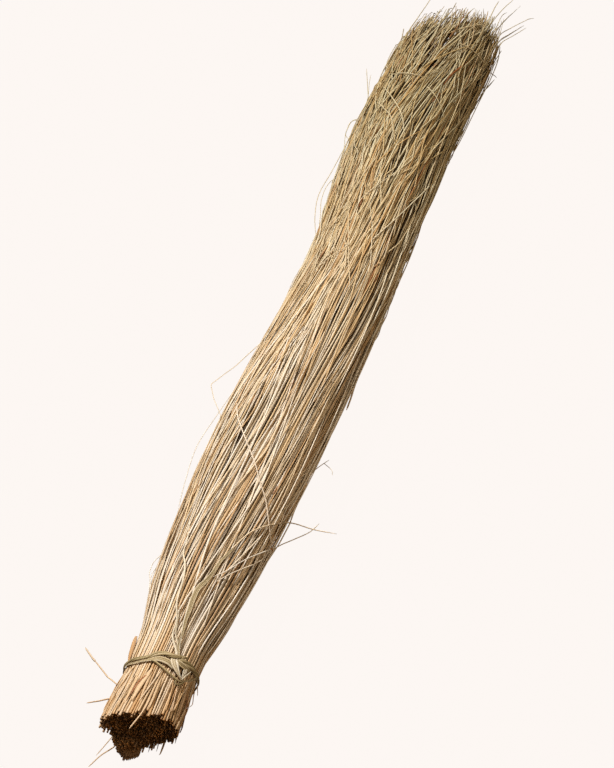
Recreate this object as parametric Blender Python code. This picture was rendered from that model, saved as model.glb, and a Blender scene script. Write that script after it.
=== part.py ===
"""A tied bunch of dried seagrass, lying on its side with its cut butts towards -Y and its tips towards +Y.

The bunch is made of locks, each a handful of stems with ridges along its outer side, held by a tie of
flat straw near the butts, with a few loose stems that have worked out of it. The floor is z = 0.
A place on the bunch is given by its share of the length (0 at the butts, 1 at the tips), its angle
around the middle line (0 at +X, 90 degrees at the top) and its height off the surface.
"""

import math

import bmesh
import bpy
import numpy as np

# Driving sizes, in metres
LENGTH = 0.945
BUTT_RADIUS = 0.0345
TIE_RADIUS = 0.0310
BELLY_RADIUS = 0.0480
NECK_RADIUS = 0.0440
HEAD_RADIUS = 0.0485
TIP_RADIUS = 0.0450
GAP = 0.0005
RING_GAP = 0.0024
HEART_SHARE = 0.83

# Moves the middle line so that the middle of the whole box, loose stems and all, is at the origin
SHIFT_X = -0.0092
SHIFT_Y = -0.0019

# The tie's place along the bunch, as shares of the length
TIE_FROM = 0.052
TIE_TO = 0.082

# Outlines along the bunch: (share of the length, size in metres)
RADIUS = (
    (0.0, BUTT_RADIUS),
    (TIE_FROM, TIE_RADIUS),
    (TIE_TO, TIE_RADIUS),
    (0.15, 0.0393),
    (0.25, 0.0445),
    (0.38, BELLY_RADIUS),
    (0.60, NECK_RADIUS),
    (0.76, HEAD_RADIUS),
    (0.90, HEAD_RADIUS),
    (1.0, TIP_RADIUS),
)
MIDDLE_X = ((0.0, -0.001), (0.15, -0.004), (0.35, -0.001), (0.55, 0.003), (0.80, -0.007), (1.0, -0.002))
MIDDLE_Z = (
    (0.0, 0.0320),
    (0.07, 0.0340),
    (0.25, 0.0425),
    (0.40, 0.0450),
    (0.60, 0.0425),
    (0.80, 0.0455),
    (1.0, 0.0430),
)

# The locks
OUTER_LOCKS = 28
MIDDLE_LOCKS = 6
RIDGES = 3
RIDGE_DEPTH = 0.0010
SUNK = 0.0022
OUTER_FROM = 0.62
MIDDLE_FROM = 0.27
STATIONS = (TIE_FROM, TIE_TO, 0.11, 0.15, 0.23, 0.32, 0.42, 0.52, 0.62, 0.72, 0.82, 0.91)
INNER_STATIONS = (TIE_FROM, TIE_TO, 0.15, 0.23, 0.42, 0.62, 0.82, 0.91)
TAPER_LENGTH = 0.075
TAPER_TO = 0.42

# How the stems run: the whole bunch turns to the right towards its tips, and streams of stems cross
TWIST = math.radians(-58)
END_SHARE = 0.962
END_SLANT = 0.030
SEED = 11

# The cut face is uneven: (degrees around the bunch, share at which the stems there begin)
CUT = (
    (0, 0.0155),
    (45, 0.0120),
    (75, 0.0060),
    (105, -0.0010),
    (135, -0.0030),
    (165, -0.0005),
    (180, -0.0015),
    (210, 0.0070),
    (240, -0.0035),
    (270, 0.0060),
    (300, 0.0165),
    (360, 0.0155),
)
CUT_INSIDE = 0.0060

# The tie: two wraps that lean towards the tips on the right, a wide blade pulled down over both, two tails
WRAP_STEPS = 30
WRAP_WIDTH = 0.0040
WRAP_THICK = 0.0012
WRAP_OFF = 0.0006
WRAP_LEAN = 0.0065
WRAP_LEAN_AT = math.radians(15)
WRAPS = {"tie_band_upper": 0.0667, "tie_band_lower": 0.0613}
KNOT = ((0.0745, 71, 3.2), (0.0675, 67, 3.4), (0.0600, 59, 3.4), (0.0510, 44, 2.9))
KNOT_WIDTHS = (0.0045, 0.0085, 0.0065, 0.0022)
KNOT_THICK = 0.0016
TAILS = {
    "tie_tail_left": (
        (0.0738, 71, 1.5),
        (0.0930, 82, 1.5),
        (0.1120, 90, 1.5),
        (0.1300, 99, 1.4),
        (0.1500, 102, 1.4),
        (0.1640, 107, 1.4),
        (0.1860, 115, 1.4),
    ),
    "tie_tail_right": (
        (0.0745, 60, 1.5),
        (0.0980, 70, 1.5),
        (0.1250, 76, 1.5),
        (0.1440, 71, 1.4),
        (0.1640, 62, 1.4),
        (0.1850, 56, 1.4),
        (0.2010, 51, 1.4),
    ),
}
TAIL_WIDTH = 0.0032
TAIL_THICK = 0.0008

# Loose stems, each from its root in the bunch to its far end: (share, degrees, millimetres off the surface)
LOOSE_THICK = 0.0014
LOOSE_TIP = 0.0008
LOOSE_STEMS = {
    "loose_stem_butt_left_long": (
        (0.033, 150, 1.3),
        (0.040, 162, 11.0),
        (0.047, 164, 24.0),
        (0.053, 165, 31.0),
        (0.060, 166, 38.0),
    ),
    "loose_stem_butt_left_short": ((0.022, 166, 1.3), (0.014, 166, 9.0), (0.009, 166, 16.0)),
    "loose_stem_floor_long": ((0.018, 238, 1.7), (0.003, 235, 3.4), (-0.012, 226, 8.7), (-0.027, 221, 13.0)),
    "loose_stem_floor_short": ((0.030, 230, 1.8), (0.010, 227, 5.5), (-0.001, 225, 8.3), (-0.014, 222, 10.7)),
    "loose_stem_over_cut_face": (
        (0.030, 79, 1.3),
        (0.012, 79, 1.6),
        (-0.004, 82, 1.0),
        (-0.017, 87, 0.0),
    ),
    "loose_stem_kinked_left": (
        (0.460, 147, 1.3),
        (0.443, 151, 2.2),
        (0.412, 160, 10.6),
        (0.377, 160, 23.0),
        (0.362, 159, 14.0),
        (0.343, 151, 2.4),
        (0.328, 147, 1.3),
    ),
    "loose_stem_long_crossing": (
        (0.352, 130, 1.5),
        (0.333, 119, 1.5),
        (0.283, 76, 1.6),
        (0.256, 47, 1.6),
        (0.240, 5, 1.6),
        (0.236, -8, 1.7),
    ),
    "loose_stem_low_crossing": ((0.227, -5, 1.5), (0.212, 12, 1.6), (0.183, 38, 1.6), (0.160, 57, 1.5)),
    "loose_stem_belly_arc_left": (
        (0.400, 168, 1.3),
        (0.386, 168, 2.0),
        (0.354, 168, 5.4),
        (0.309, 168, 10.0),
        (0.271, 168, 7.0),
        (0.228, 162, 1.3),
    ),
    "loose_stem_twig_right": ((0.256, 4, 1.4), (0.265, -4, 4.0), (0.273, -12, 24.0), (0.280, -13, 46.5)),
    "loose_stem_branch_right": (
        (0.236, -20, 1.3),
        (0.243, -18, 4.3),
        (0.259, -17, 15.0),
        (0.2735, -17, 24.0),
        (0.286, -16, 28.0),
    ),
    "loose_stem_curl_right": ((0.305, 18, 1.4), (0.313, 14, 1.8), (0.342, -13, 3.0), (0.357, -14, 9.3)),
    "loose_stem_bow_right": (
        (0.335, -24, 1.3),
        (0.318, -24, 3.0),
        (0.261, -25, 5.5),
        (0.203, -24, 6.0),
        (0.130, -24, 5.0),
        (0.112, -24, 1.4),
    ),
    "loose_stem_neck_arc_left": (
        (0.775, 160, 1.3),
        (0.747, 163, 3.0),
        (0.711, 165, 6.6),
        (0.668, 166, 12.0),
        (0.644, 167, 9.0),
        (0.614, 163, 1.3),
    ),
    "loose_stem_twig_left": (
        (0.800, 158, 1.3),
        (0.818, 158, 2.0),
        (0.835, 157, 8.7),
        (0.844, 156, 13.0),
        (0.858, 156, 19.0),
    ),
    "loose_stem_tip_left": (
        (0.895, 140, 1.3),
        (0.931, 140, 1.5),
        (0.960, 140, 1.0),
        (0.991, 140, 0.5),
        (1.006, 140, 0.5),
    ),
    "loose_stem_tip_high": ((0.955, 40, 1.3), (0.985, 36, 1.2), (1.008, 31, 2.0), (1.031, 25, 5.4)),
    "loose_stem_tip_right": (
        (0.955, 14, 1.3),
        (0.985, 12, 2.5),
        (0.998, 10, 9.2),
        (1.015, 10, 22.5),
        (1.022, 8, 28.0),
    ),
    "loose_stem_tip_crossing": ((0.912, 66, 1.5), (0.917, 34, 1.6), (0.925, 6, 1.8), (0.939, -14, 10.0)),
    "loose_stem_tip_bow_right": (
        (0.985, -15, 1.0),
        (0.960, -18, 3.0),
        (0.913, -18, 4.0),
        (0.877, -18, 5.0),
        (0.847, -18, 5.0),
        (0.817, -18, 4.0),
        (0.795, -18, 1.3),
    ),
}

STRAW = (0.60, 0.45, 0.26)
STRAW_PALE = (0.70, 0.56, 0.36)
STRAW_INNER = (0.30, 0.19, 0.09)
TIE_STRAW = (0.45, 0.40, 0.27)


def along(knots, share):
    """The value at each share on the smooth curve through the (share, value) knots, level at each peak."""
    at, value = np.array(knots, float).T
    step = np.diff(value) / np.diff(at)
    between = np.where(step[:-1] * step[1:] > 0, (step[:-1] + step[1:]) / 2, 0)
    slope = np.concatenate([step[:1], between, step[-1:]])
    share = np.clip(share, at[0], at[-1])
    i = np.clip(np.searchsorted(at, share, side="right") - 1, 0, len(at) - 2)
    width = at[i + 1] - at[i]
    u = (share - at[i]) / width
    start = value[i] * (1 + 2 * u) * (1 - u) ** 2 + slope[i] * width * u * (1 - u) ** 2
    end = value[i + 1] * u * u * (3 - 2 * u) - slope[i + 1] * width * u * u * (1 - u)
    return start + end


def eased(value, start, end):
    """0 before start, 1 after end, and a smooth rise between them."""
    u = np.clip((value - start) / (end - start), 0, 1)
    return u * u * (3 - 2 * u)


def surface_radius(angle, share):
    """The bunch's outer radius: its outline along the length, with the slow lumps of its locks."""
    free = eased(share, TIE_TO, 0.3)
    lumps = 0.016 * np.sin(2 * angle + 3.0 * share + 0.8)
    lumps = lumps + 0.013 * np.sin(3 * angle - 7.0 * share + 2.1)
    lumps = lumps + 0.010 * np.sin(5 * angle + 13.0 * share + 4.0)
    return along(RADIUS, share) * (1 + free * lumps)


def drifted(angle, share):
    """The angle, at this share, of the stem that leaves the butts at this angle."""
    free = eased(share, TIE_FROM, 0.42)
    streams = 0.10 * np.sin(2 * angle + 5.0 * share + 1.0)
    streams = streams + 0.075 * np.sin(3 * angle - 11.0 * share + 2.5)
    streams = streams + 0.035 * np.sin(6 * angle + 17.0 * share + 0.6)
    return angle + TWIST * share + free * streams


def middle(share):
    """The middle line's point at this share, butts first."""
    x = SHIFT_X + along(MIDDLE_X, share)
    y = SHIFT_Y + (share - 0.5) * LENGTH
    return np.array([x, y, along(MIDDLE_Z, share)])


def place(share, degrees, off):
    """The point that stands off the surface, at this share and this angle around the bunch."""
    angle = math.radians(degrees)
    reach = surface_radius(angle, share) + off
    return middle(share) + reach * np.array([math.cos(angle), 0, math.sin(angle)])


def material(name, colour, roughness):
    """A plain straw finish."""
    made = bpy.data.materials.new(name)
    made.use_nodes = True
    shader = made.node_tree.nodes["Principled BSDF"]
    shader.inputs["Base Color"].default_value = (*colour, 1)
    shader.inputs["Roughness"].default_value = roughness
    shader.inputs["Metallic"].default_value = 0.0
    return made


def skin(name, rings, finish, closed=False):
    """One closed solid through rings of points, capped at both ends, or joined end to start if closed.

    The last column of faces is split along the other diagonal, so that the two walls that face each
    other across a gap between locks are split alike.
    """
    count = len(rings[0])
    mesh = bmesh.new()
    made = [[mesh.verts.new(point) for point in ring] for ring in rings]
    pairs = list(zip(made, made[1:]))
    if closed:
        pairs.append((made[-1], made[0]))
    for here, there in pairs:
        for p in range(count):
            q = (p + 1) % count
            if q:
                mesh.faces.new((here[p], here[q], there[q]))
                mesh.faces.new((here[p], there[q], there[p]))
            else:
                mesh.faces.new((here[p], here[q], there[p]))
                mesh.faces.new((here[q], there[q], there[p]))
    if not closed:
        mesh.faces.new(made[0][::-1])
        mesh.faces.new(made[-1])
    bmesh.ops.recalc_face_normals(mesh, faces=mesh.faces)
    data = bpy.data.meshes.new(name)
    mesh.to_mesh(data)
    mesh.free()
    data.materials.append(finish)
    data.shade_smooth()
    data.set_sharp_from_angle(angle=math.radians(34))
    thing = bpy.data.objects.new(name, data)
    bpy.context.scene.collection.objects.link(thing)
    return thing


def wall_point(share, angle, reach, side):
    """A point on the wall between two locks, half a gap to one side of it, and never under the floor."""
    out = np.array([math.cos(angle), 0, math.sin(angle)])
    across = np.array([-math.sin(angle), 0, math.cos(angle)])
    point = middle(share) + reach * out + side * GAP / 2 * across
    point[2] = max(point[2], 0.0)
    return point


def tapered(ring, share, end):
    """The ring drawn in towards its own middle where the lock's stems run out."""
    u = np.clip(1 - (end - share) / TAPER_LENGTH, 0, 1)
    size = 1 - (1 - TAPER_TO) * u**1.5
    heart = ring.mean(axis=0)
    return heart + size * (ring - heart)


def outer_lock(name, first, second, phase, start, end, finish):
    """A handful of stems from the outside of the bunch, between two walls, with ridges along its face."""
    rings = []
    for share in (start, *STATIONS, end):
        a, b = drifted(first, share), drifted(second, share)
        free = 0.3 + 0.7 * eased(share, TIE_TO, 0.22)
        sunk = SUNK * (0.5 + 0.5 * math.sin(phase + 9.0 * share))
        inside = OUTER_FROM * along(RADIUS, share)
        face = []
        for k in range(2 * RIDGES + 1):
            angle = b + (a - b) * k / (2 * RIDGES)
            side = (k == 2 * RIDGES) - (k == 0)
            depth = free * (SUNK if side else sunk + RIDGE_DEPTH * (k % 2 == 0))
            face.append(wall_point(share, angle, surface_radius(angle, share) - depth, side))
        ring = np.array([wall_point(share, a, inside, 1), wall_point(share, b, inside, -1), *face])
        rings.append(tapered(ring, share, end))
    return skin(name, rings, finish)


def middle_lock(name, first, second, start, end, finish):
    """A handful of stems from inside the bunch, four-sided with a rounded outer side."""
    rings = []
    for share in (start, *INNER_STATIONS, end):
        a, b = drifted(first, share), drifted(second, share)
        radius = along(RADIUS, share)
        inside, outside = MIDDLE_FROM * radius, OUTER_FROM * radius - RING_GAP
        steps = [b + (a - b) * k / 4 for k in range(5)]
        sides = [-1, 0, 0, 0, 1]
        face = [wall_point(share, angle, outside, side) for angle, side in zip(steps, sides)]
        ring = np.array([wall_point(share, a, inside, 1), wall_point(share, b, inside, -1), *face])
        rings.append(tapered(ring, share, end))
    return skin(name, rings, finish)


def heart_lock(name, finish):
    """The handful of stems along the middle line."""
    rings = []
    for share in (CUT_INSIDE, *INNER_STATIONS, END_SHARE):
        reach = HEART_SHARE * MIDDLE_FROM * along(RADIUS, share) - GAP
        turns = [drifted(2 * math.pi * k / 8, share) for k in range(8)]
        ring = np.array([middle(share) + reach * np.array([math.cos(t), 0, math.sin(t)]) for t in turns])
        rings.append(tapered(ring, share, END_SHARE))
    return skin(name, rings, finish)


def walls(count, spread, rng):
    """The angles of the walls between this many locks, spaced a little unevenly, once round."""
    step = 2 * math.pi / count
    places = [(k + spread * rng.uniform(-1, 1)) * step for k in range(count)]
    return places + [places[0] + 2 * math.pi]


def make_locks(rng):
    """All the locks: the outer ones once round, then those inside them."""
    pale = material("straw_pale", STRAW_PALE, 0.55)
    straw = material("straw", STRAW, 0.6)
    inner = material("straw_inner", STRAW_INNER, 0.8)
    edges = walls(OUTER_LOCKS, 0.22, rng)
    for k in range(OUTER_LOCKS):
        facing = (edges[k] + edges[k + 1]) / 2
        start = along(CUT, math.degrees(facing) % 360) + rng.uniform(-0.0015, 0.0015)
        end = END_SHARE + END_SLANT * math.cos(drifted(facing, 1.0)) + rng.uniform(-0.012, 0.008)
        finish = pale if k % 3 == 0 else straw
        name = f"stem_lock_{k + 1:02d}"
        outer_lock(name, edges[k], edges[k + 1], rng.uniform(0, 2 * math.pi), start, end, finish)
    edges = walls(MIDDLE_LOCKS, 0.08, rng)
    for k in range(MIDDLE_LOCKS):
        facing = math.degrees((edges[k] + edges[k + 1]) / 2) % 360
        start = 0.4 * along(CUT, facing) + 0.6 * CUT_INSIDE
        end = END_SHARE + rng.uniform(-0.01, 0.01)
        middle_lock(f"middle_lock_{k + 1}", edges[k], edges[k + 1], start, end, inner)
    heart_lock("heart_lock", inner)


def unit(vectors):
    """The vectors at length 1."""
    return vectors / np.linalg.norm(vectors, axis=-1, keepdims=True)


def routed(knots, steps):
    """Points on the smooth route through the knots, in steps from each to the next, and the ways out."""
    knots = np.array(knots, float)
    spots = np.array([place(share, degrees, off / 1000) for share, degrees, off in knots])
    run = np.concatenate([[0], np.cumsum(np.linalg.norm(np.diff(spots, axis=0), axis=1))])
    at = np.interp(np.arange(steps * (len(run) - 1) + 1) / steps, np.arange(len(run)), run)
    share, degrees, off = (np.array([along(np.c_[run, column], a) for a in at]) for column in knots.T)
    points = np.array([place(s, d, h / 1000) for s, d, h in zip(share, degrees, off)])
    turns = np.radians(degrees)
    return points, np.stack([np.cos(turns), 0 * turns, np.sin(turns)], axis=1)


def strip(name, knots, steps, widths, thick, finish):
    """A flat four-sided blade that lies along the surface, its widths given from one end to the other."""
    points, out = routed(knots, steps)
    count = len(points)
    ahead = unit(np.gradient(points, axis=0))
    out = unit(out - (out * ahead).sum(axis=1, keepdims=True) * ahead)
    across = np.cross(ahead, out)
    half = np.interp(np.linspace(0, 1, count), np.linspace(0, 1, len(widths)), widths)[:, None] / 2
    signs = ((-1, -1), (1, -1), (1, 1), (-1, 1))
    corners = [points + a * half * across + b * thick / 2 * out for a, b in signs]
    return skin(name, np.stack(corners, axis=1), finish)


def stem(name, knots, finish):
    """A loose stem: a thin four-sided tube, thinner to its far end, carried along without turning."""
    points, out = routed(knots, 2)
    count = len(points)
    ahead = unit(np.gradient(points, axis=0))
    side = out[0]
    rings = []
    for k in range(count):
        side = unit(side - (side @ ahead[k]) * ahead[k])
        across = np.cross(ahead[k], side)
        reach = (LOOSE_THICK + (LOOSE_TIP - LOOSE_THICK) * k / (count - 1)) / 2
        rings.append([points[k] + reach * d for d in (side, across, -side, -across)])
    return skin(name, np.array(rings), finish)


def band(name, share_at, finish):
    """One wrap of the tie: a flat strip once round the bunch, joined end to start."""
    rings = []
    for k in range(WRAP_STEPS):
        angle = 2 * math.pi * k / WRAP_STEPS
        share = share_at + WRAP_LEAN * math.cos(angle - WRAP_LEAN_AT)
        out = np.array([math.cos(angle), 0, math.sin(angle)])
        inner = middle(share) + (TIE_RADIUS + WRAP_OFF) * out
        outer = inner + WRAP_THICK * out
        edge = np.array([0, WRAP_WIDTH / 2, 0])
        rings.append([inner - edge, inner + edge, outer + edge, outer - edge])
    return skin(name, np.array(rings), finish, closed=True)


def make_tie():
    """The two wraps, the knot blade over them and the two tails that run up the bunch."""
    finish = material("tie_straw", TIE_STRAW, 0.6)
    for name, share_at in WRAPS.items():
        band(name, share_at, finish)
    strip("tie_knot", KNOT, 2, KNOT_WIDTHS, KNOT_THICK, finish)
    for name, knots in TAILS.items():
        strip(name, knots, 2, (TAIL_WIDTH, TAIL_WIDTH, TAIL_WIDTH / 3), TAIL_THICK, finish)


def make_loose_stems():
    """The single stems that have worked out of the bunch."""
    finish = material("straw_loose", STRAW_PALE, 0.55)
    for name, knots in LOOSE_STEMS.items():
        stem(name, knots, finish)


def main():
    for thing in list(bpy.data.objects):
        bpy.data.objects.remove(thing, do_unlink=True)
    rng = np.random.default_rng(SEED)
    make_locks(rng)
    make_tie()
    make_loose_stems()


if __name__ == "__main__":
    main()
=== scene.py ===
"""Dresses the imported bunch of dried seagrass: each lock becomes its single stems, and the tie, the
loose stems, the torn sheaths and the small bits lie on them.

A place on the bunch is its share of the length (0 at the butts, 1 at the tips), its angle around the
middle line (0 at +X, a quarter turn at the top) and its height off the surface. Sizes are in metres
unless a name ends in _mm.
"""

import logging
import math
from dataclasses import dataclass
from enum import Enum
from typing import Any

import bpy
import numpy as np
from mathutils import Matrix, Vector


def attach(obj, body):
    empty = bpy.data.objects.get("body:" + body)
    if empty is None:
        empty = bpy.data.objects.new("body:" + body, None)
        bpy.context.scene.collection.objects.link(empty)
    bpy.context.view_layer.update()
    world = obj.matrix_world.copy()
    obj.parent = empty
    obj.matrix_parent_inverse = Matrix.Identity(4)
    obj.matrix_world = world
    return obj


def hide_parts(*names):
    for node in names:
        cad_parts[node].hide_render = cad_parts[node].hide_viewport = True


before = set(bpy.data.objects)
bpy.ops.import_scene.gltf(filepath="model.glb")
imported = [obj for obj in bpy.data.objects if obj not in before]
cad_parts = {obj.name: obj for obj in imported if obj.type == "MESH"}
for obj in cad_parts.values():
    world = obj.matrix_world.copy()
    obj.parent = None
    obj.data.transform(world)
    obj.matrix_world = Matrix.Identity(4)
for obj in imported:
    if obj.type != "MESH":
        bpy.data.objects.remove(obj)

Array = np.ndarray
Pair = tuple[float, float]
Point = tuple[float, float, float]
Knots = tuple[Pair, ...]
Table = tuple[tuple[float, ...], ...]
Stops = tuple[tuple[float, str], ...]
Tree = bpy.types.NodeTree
Socket = bpy.types.NodeSocket
Finish = bpy.types.Material
log = logging.getLogger("seagrass")
MM = 0.001


class Slot(Enum):
    """The record's material slots."""

    PALE = "straw_pale"
    STRAW = "straw"
    INNER = "straw_inner"
    TIE = "tie_straw"
    LOOSE = "straw_loose"


class Bend(Enum):
    """How a strand runs through its knots."""

    SMOOTH = "smooth"
    KINKED = "kinked"


def linear(code: str) -> tuple[float, float, float, float]:
    """An sRGB hex colour as linear RGBA.

    Args:
        code: the colour, such as "#D2B593".

    Returns:
        The linear red, green and blue, and alpha 1.
    """
    parts = [int(code[i : i + 2], 16) / 255 for i in (1, 3, 5)]
    red, green, blue = (c / 12.92 if c <= 0.04045 else ((c + 0.055) / 1.055) ** 2.4 for c in parts)
    return red, green, blue, 1.0


def along(knots: Any, share: Any) -> Array:
    """The smooth curve through (share, value) knots: cubic pieces, level at each peak.

    Args:
        knots: the (share, value) pairs, in order.
        share: where to read the curve, held to its two ends.

    Returns:
        The value at each share.
    """
    at, value = np.array(knots, float).T
    step = np.diff(value) / np.diff(at)
    between = np.where(step[:-1] * step[1:] > 0, (step[:-1] + step[1:]) / 2, 0)
    slope = np.concatenate([step[:1], between, step[-1:]])
    share = np.clip(share, at[0], at[-1])
    i = np.clip(np.searchsorted(at, share, side="right") - 1, 0, len(at) - 2)
    width = at[i + 1] - at[i]
    u = (share - at[i]) / width
    start = value[i] * (1 + 2 * u) * (1 - u) ** 2 + slope[i] * width * u * (1 - u) ** 2
    end = value[i + 1] * u * u * (3 - 2 * u) - slope[i + 1] * width * u * u * (1 - u)
    return start + end


def eased(value: Any, start: float, end: float) -> Array:
    """0 before start, 1 after end, and a smooth rise between them."""
    u = np.clip((value - start) / (end - start), 0, 1)
    return u * u * (3 - 2 * u)


def unit(vectors: Array) -> Array:
    """The vectors at length 1."""
    return vectors / np.maximum(np.linalg.norm(vectors, axis=-1, keepdims=True), 1e-12)


@dataclass(frozen=True)
class BunchForm:
    """The bunch's outline and the way its stems run, the same as in the CAD."""

    length: float = 0.945
    shift: Pair = (-0.0092, -0.0019)
    tie_from: float = 0.052
    tie_to: float = 0.082
    twist: float = math.radians(-58)
    end_share: float = 0.962
    end_slant: float = 0.030
    cut_inside: float = 0.0060
    radii: Knots = (
        (0.0, 0.0345), (0.052, 0.031), (0.082, 0.031), (0.15, 0.0393), (0.25, 0.0445), (0.38, 0.048),
        (0.6, 0.044), (0.76, 0.0485), (0.9, 0.0485), (1.0, 0.045),
    )
    middle_x: Knots = (
        (0.0, -0.001), (0.15, -0.004), (0.35, -0.001), (0.55, 0.003), (0.8, -0.007), (1.0, -0.002),
    )
    middle_z: Knots = (
        (0.0, 0.032), (0.07, 0.034), (0.25, 0.0425), (0.4, 0.045), (0.6, 0.0425), (0.8, 0.0455), (1.0, 0.043),
    )
    cut: Knots = (
        (0, 0.0155), (45, 0.012), (75, 0.006), (105, -0.001), (135, -0.003), (165, -0.0005), (180, -0.0015),
        (210, 0.007), (240, -0.0035), (270, 0.006), (300, 0.0165), (360, 0.0155),
    )

    def surface(self, angle: Any, share: Any) -> Array:
        """The outer radius: the outline along the length, with three slow waves round it for its lumps.

        Args:
            angle: the angle around the middle line.
            share: the share of the length.

        Returns:
            The radius at each place.
        """
        lumps = 0.016 * np.sin(2 * angle + 3.0 * share + 0.8)
        lumps = lumps + 0.013 * np.sin(3 * angle - 7.0 * share + 2.1)
        lumps = lumps + 0.010 * np.sin(5 * angle + 13.0 * share + 4.0)
        return along(self.radii, share) * (1 + eased(share, self.tie_to, 0.3) * lumps)

    def drifted(self, angle: Any, share: Any) -> Array:
        """How far round a stem runs: a steady turn along the bunch, and three slow streams in it.

        Args:
            angle: the angle at which the stem leaves the butts.
            share: the share of the length.

        Returns:
            The stem's angle at each share.
        """
        streams = 0.10 * np.sin(2 * angle + 5.0 * share + 1.0)
        streams = streams + 0.075 * np.sin(3 * angle - 11.0 * share + 2.5)
        streams = streams + 0.035 * np.sin(6 * angle + 17.0 * share + 0.6)
        return angle + self.twist * share + eased(share, self.tie_from, 0.42) * streams

    def middle(self, share: Any) -> Array:
        """The bunch's middle line.

        Args:
            share: the shares of the length.

        Returns:
            The line's points there.
        """
        share = np.asarray(share, float)
        x = self.shift[0] + along(self.middle_x, share)
        y = self.shift[1] + (share - 0.5) * self.length
        return np.stack([x, y, along(self.middle_z, share)], axis=-1)

    def outward(self, angle: Any) -> Array:
        """The direction out of the bunch at these angles."""
        angle = np.asarray(angle, float)
        return np.stack([np.cos(angle), np.zeros_like(angle), np.sin(angle)], axis=-1)

    def spot(self, share: Any, angle: Any, off: Any) -> Array:
        """Places near the surface.

        Args:
            share: the share of the length.
            angle: the angle around the middle line.
            off: how far off the surface.

        Returns:
            The points.
        """
        share, angle, off = np.broadcast_arrays(share, angle, off)
        reach = self.surface(angle, share) + off
        return self.middle(share) + reach[..., None] * self.outward(angle)


FORM = BunchForm()


@dataclass
class Strands:
    """Many strands of one kind: rings of points, with what the finishes read at each ring."""

    rings: Array
    tone: Array
    share: Array
    depth: Array
    cut: Array

    @staticmethod
    def swept(
        path: Array,
        out: Array,
        section: Array,
        tone: Any,
        share: Any,
        depth: Any = 0.0,
        cut: Any = 0.0,
        roll: Any = 0.0,
        ahead: Array | None = None,
        shade: float = 0.7,
    ) -> "Strands":
        """Carries a section along each path: the section's x runs across the path and its y runs out.

        Args:
            path: the middle lines, strands by rings by 3.
            out: the way each section's top faces, broadcast to path.
            section: the section's corners, strands by rings by corners by 2, once round.
            tone: each strand's own colour, 0 to 1.
            share: the share of the bunch's length at each ring.
            depth: how much painted shade each ring gets for lying deep in the bunch, 0 to 1.
            cut: how near each ring is to the cut end, 0 to 1.
            roll: how far each section is turned about the path, in radians.
            ahead: the way along the path, if not its own slope.
            shade: how much painted shade the side that faces into the bunch gets.

        Returns:
            The strands.
        """
        ahead = unit(np.gradient(path, axis=1)) if ahead is None else ahead
        out = np.broadcast_to(out, path.shape)
        level = unit(out - (out * ahead).sum(-1, keepdims=True) * ahead)
        aside = np.cross(ahead, level)
        roll = np.broadcast_to(roll, path.shape[:2])[..., None]
        top = np.cos(roll) * level + np.sin(roll) * aside
        side = np.cos(roll) * aside - np.sin(roll) * level
        rings = path[:, :, None] + section[..., :1] * side[:, :, None] + section[..., 1:] * top[:, :, None]
        facing = (unit(rings - path[:, :, None]) * level[:, :, None]).sum(-1)
        share, depth, cut = (np.broadcast_to(v, path.shape[:2])[..., None] for v in (share, depth, cut))
        # Painted shade: the side of each section that faces into the bunch is darkened too.
        low = depth + shade * (1 - facing) / 2
        tone = np.reshape(tone, (-1, 1, 1))
        return Strands(rings, *(np.broadcast_to(v, low.shape) for v in (tone, share, low, cut)))


def round_section(radius: Array, sides: int, flat: Any = 1.0) -> Array:
    """A circle of this many corners at each radius, pressed flatter and wider.

    Args:
        radius: strands by rings.
        sides: how many corners.
        flat: the height over the circle's; the width grows as it sinks.

    Returns:
        Strands by rings by corners by 2.
    """
    turn = 2 * math.pi * (np.arange(sides) + 0.25) / sides
    high = np.broadcast_to(flat, radius.shape)
    size = radius[..., None] * np.stack([1 / np.sqrt(high), high], axis=-1)
    return size[..., None, :] * np.stack([np.cos(turn), np.sin(turn)], axis=-1)


def blade_section(width: Array, thick: Any, camber: float, folds: int = 0, points: int = 7) -> Array:
    """A flat blade: its upper side one way across, then its lower side back.

    At x across the blade, from -1 to 1, it stands camber * (1 - x squared) of its width high, plus a small
    zigzag of folds, plus or minus half the thickness, which thins to the edges.

    Args:
        width: strands by rings.
        thick: the thickness in the middle.
        camber: how far the middle stands over the edges, for each unit of width.
        folds: how many lengthwise folds.
        points: how many corners on each side.

    Returns:
        Strands by rings by corners by 2.
    """
    x = np.linspace(-1, 1, points)
    width = width[..., None]
    lift = camber * (1 - x**2) * width
    if folds:
        lift = lift + 0.05 * np.cos(math.pi * (folds + 1) * x) * width
    half = thick / 2 * (1 - 0.6 * x**4) * np.minimum(1, width / (1.5 * MM))
    upper = np.stack(np.broadcast_arrays(x * width / 2, lift + half), axis=-1)
    lower = np.stack(np.broadcast_arrays(x * width / 2, lift - half), axis=-1)
    return np.concatenate([lower, upper[..., ::-1, :]], axis=-2)


def walked(knots: Table, rings: int, bend: Bend = Bend.SMOOTH) -> Array:
    """Even steps along a table of knots, whose first columns are share, degrees and mm off the surface.

    Args:
        knots: the table.
        rings: how many steps.
        bend: whether the knots are rounded or sharp.

    Returns:
        Rings by columns.
    """
    table = np.array(knots, float)
    points = FORM.spot(table[:, 0], np.radians(table[:, 1]), table[:, 2] * MM)
    run = np.concatenate([[0], np.linalg.norm(np.diff(points, axis=0), axis=1).cumsum()])
    at = np.linspace(0, run[-1], rings)
    if bend is Bend.KINKED:
        return np.stack([np.interp(at, run, column) for column in table.T], axis=-1)
    return np.stack([along(np.stack([run, column], axis=-1), at) for column in table.T], axis=-1)


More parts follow.
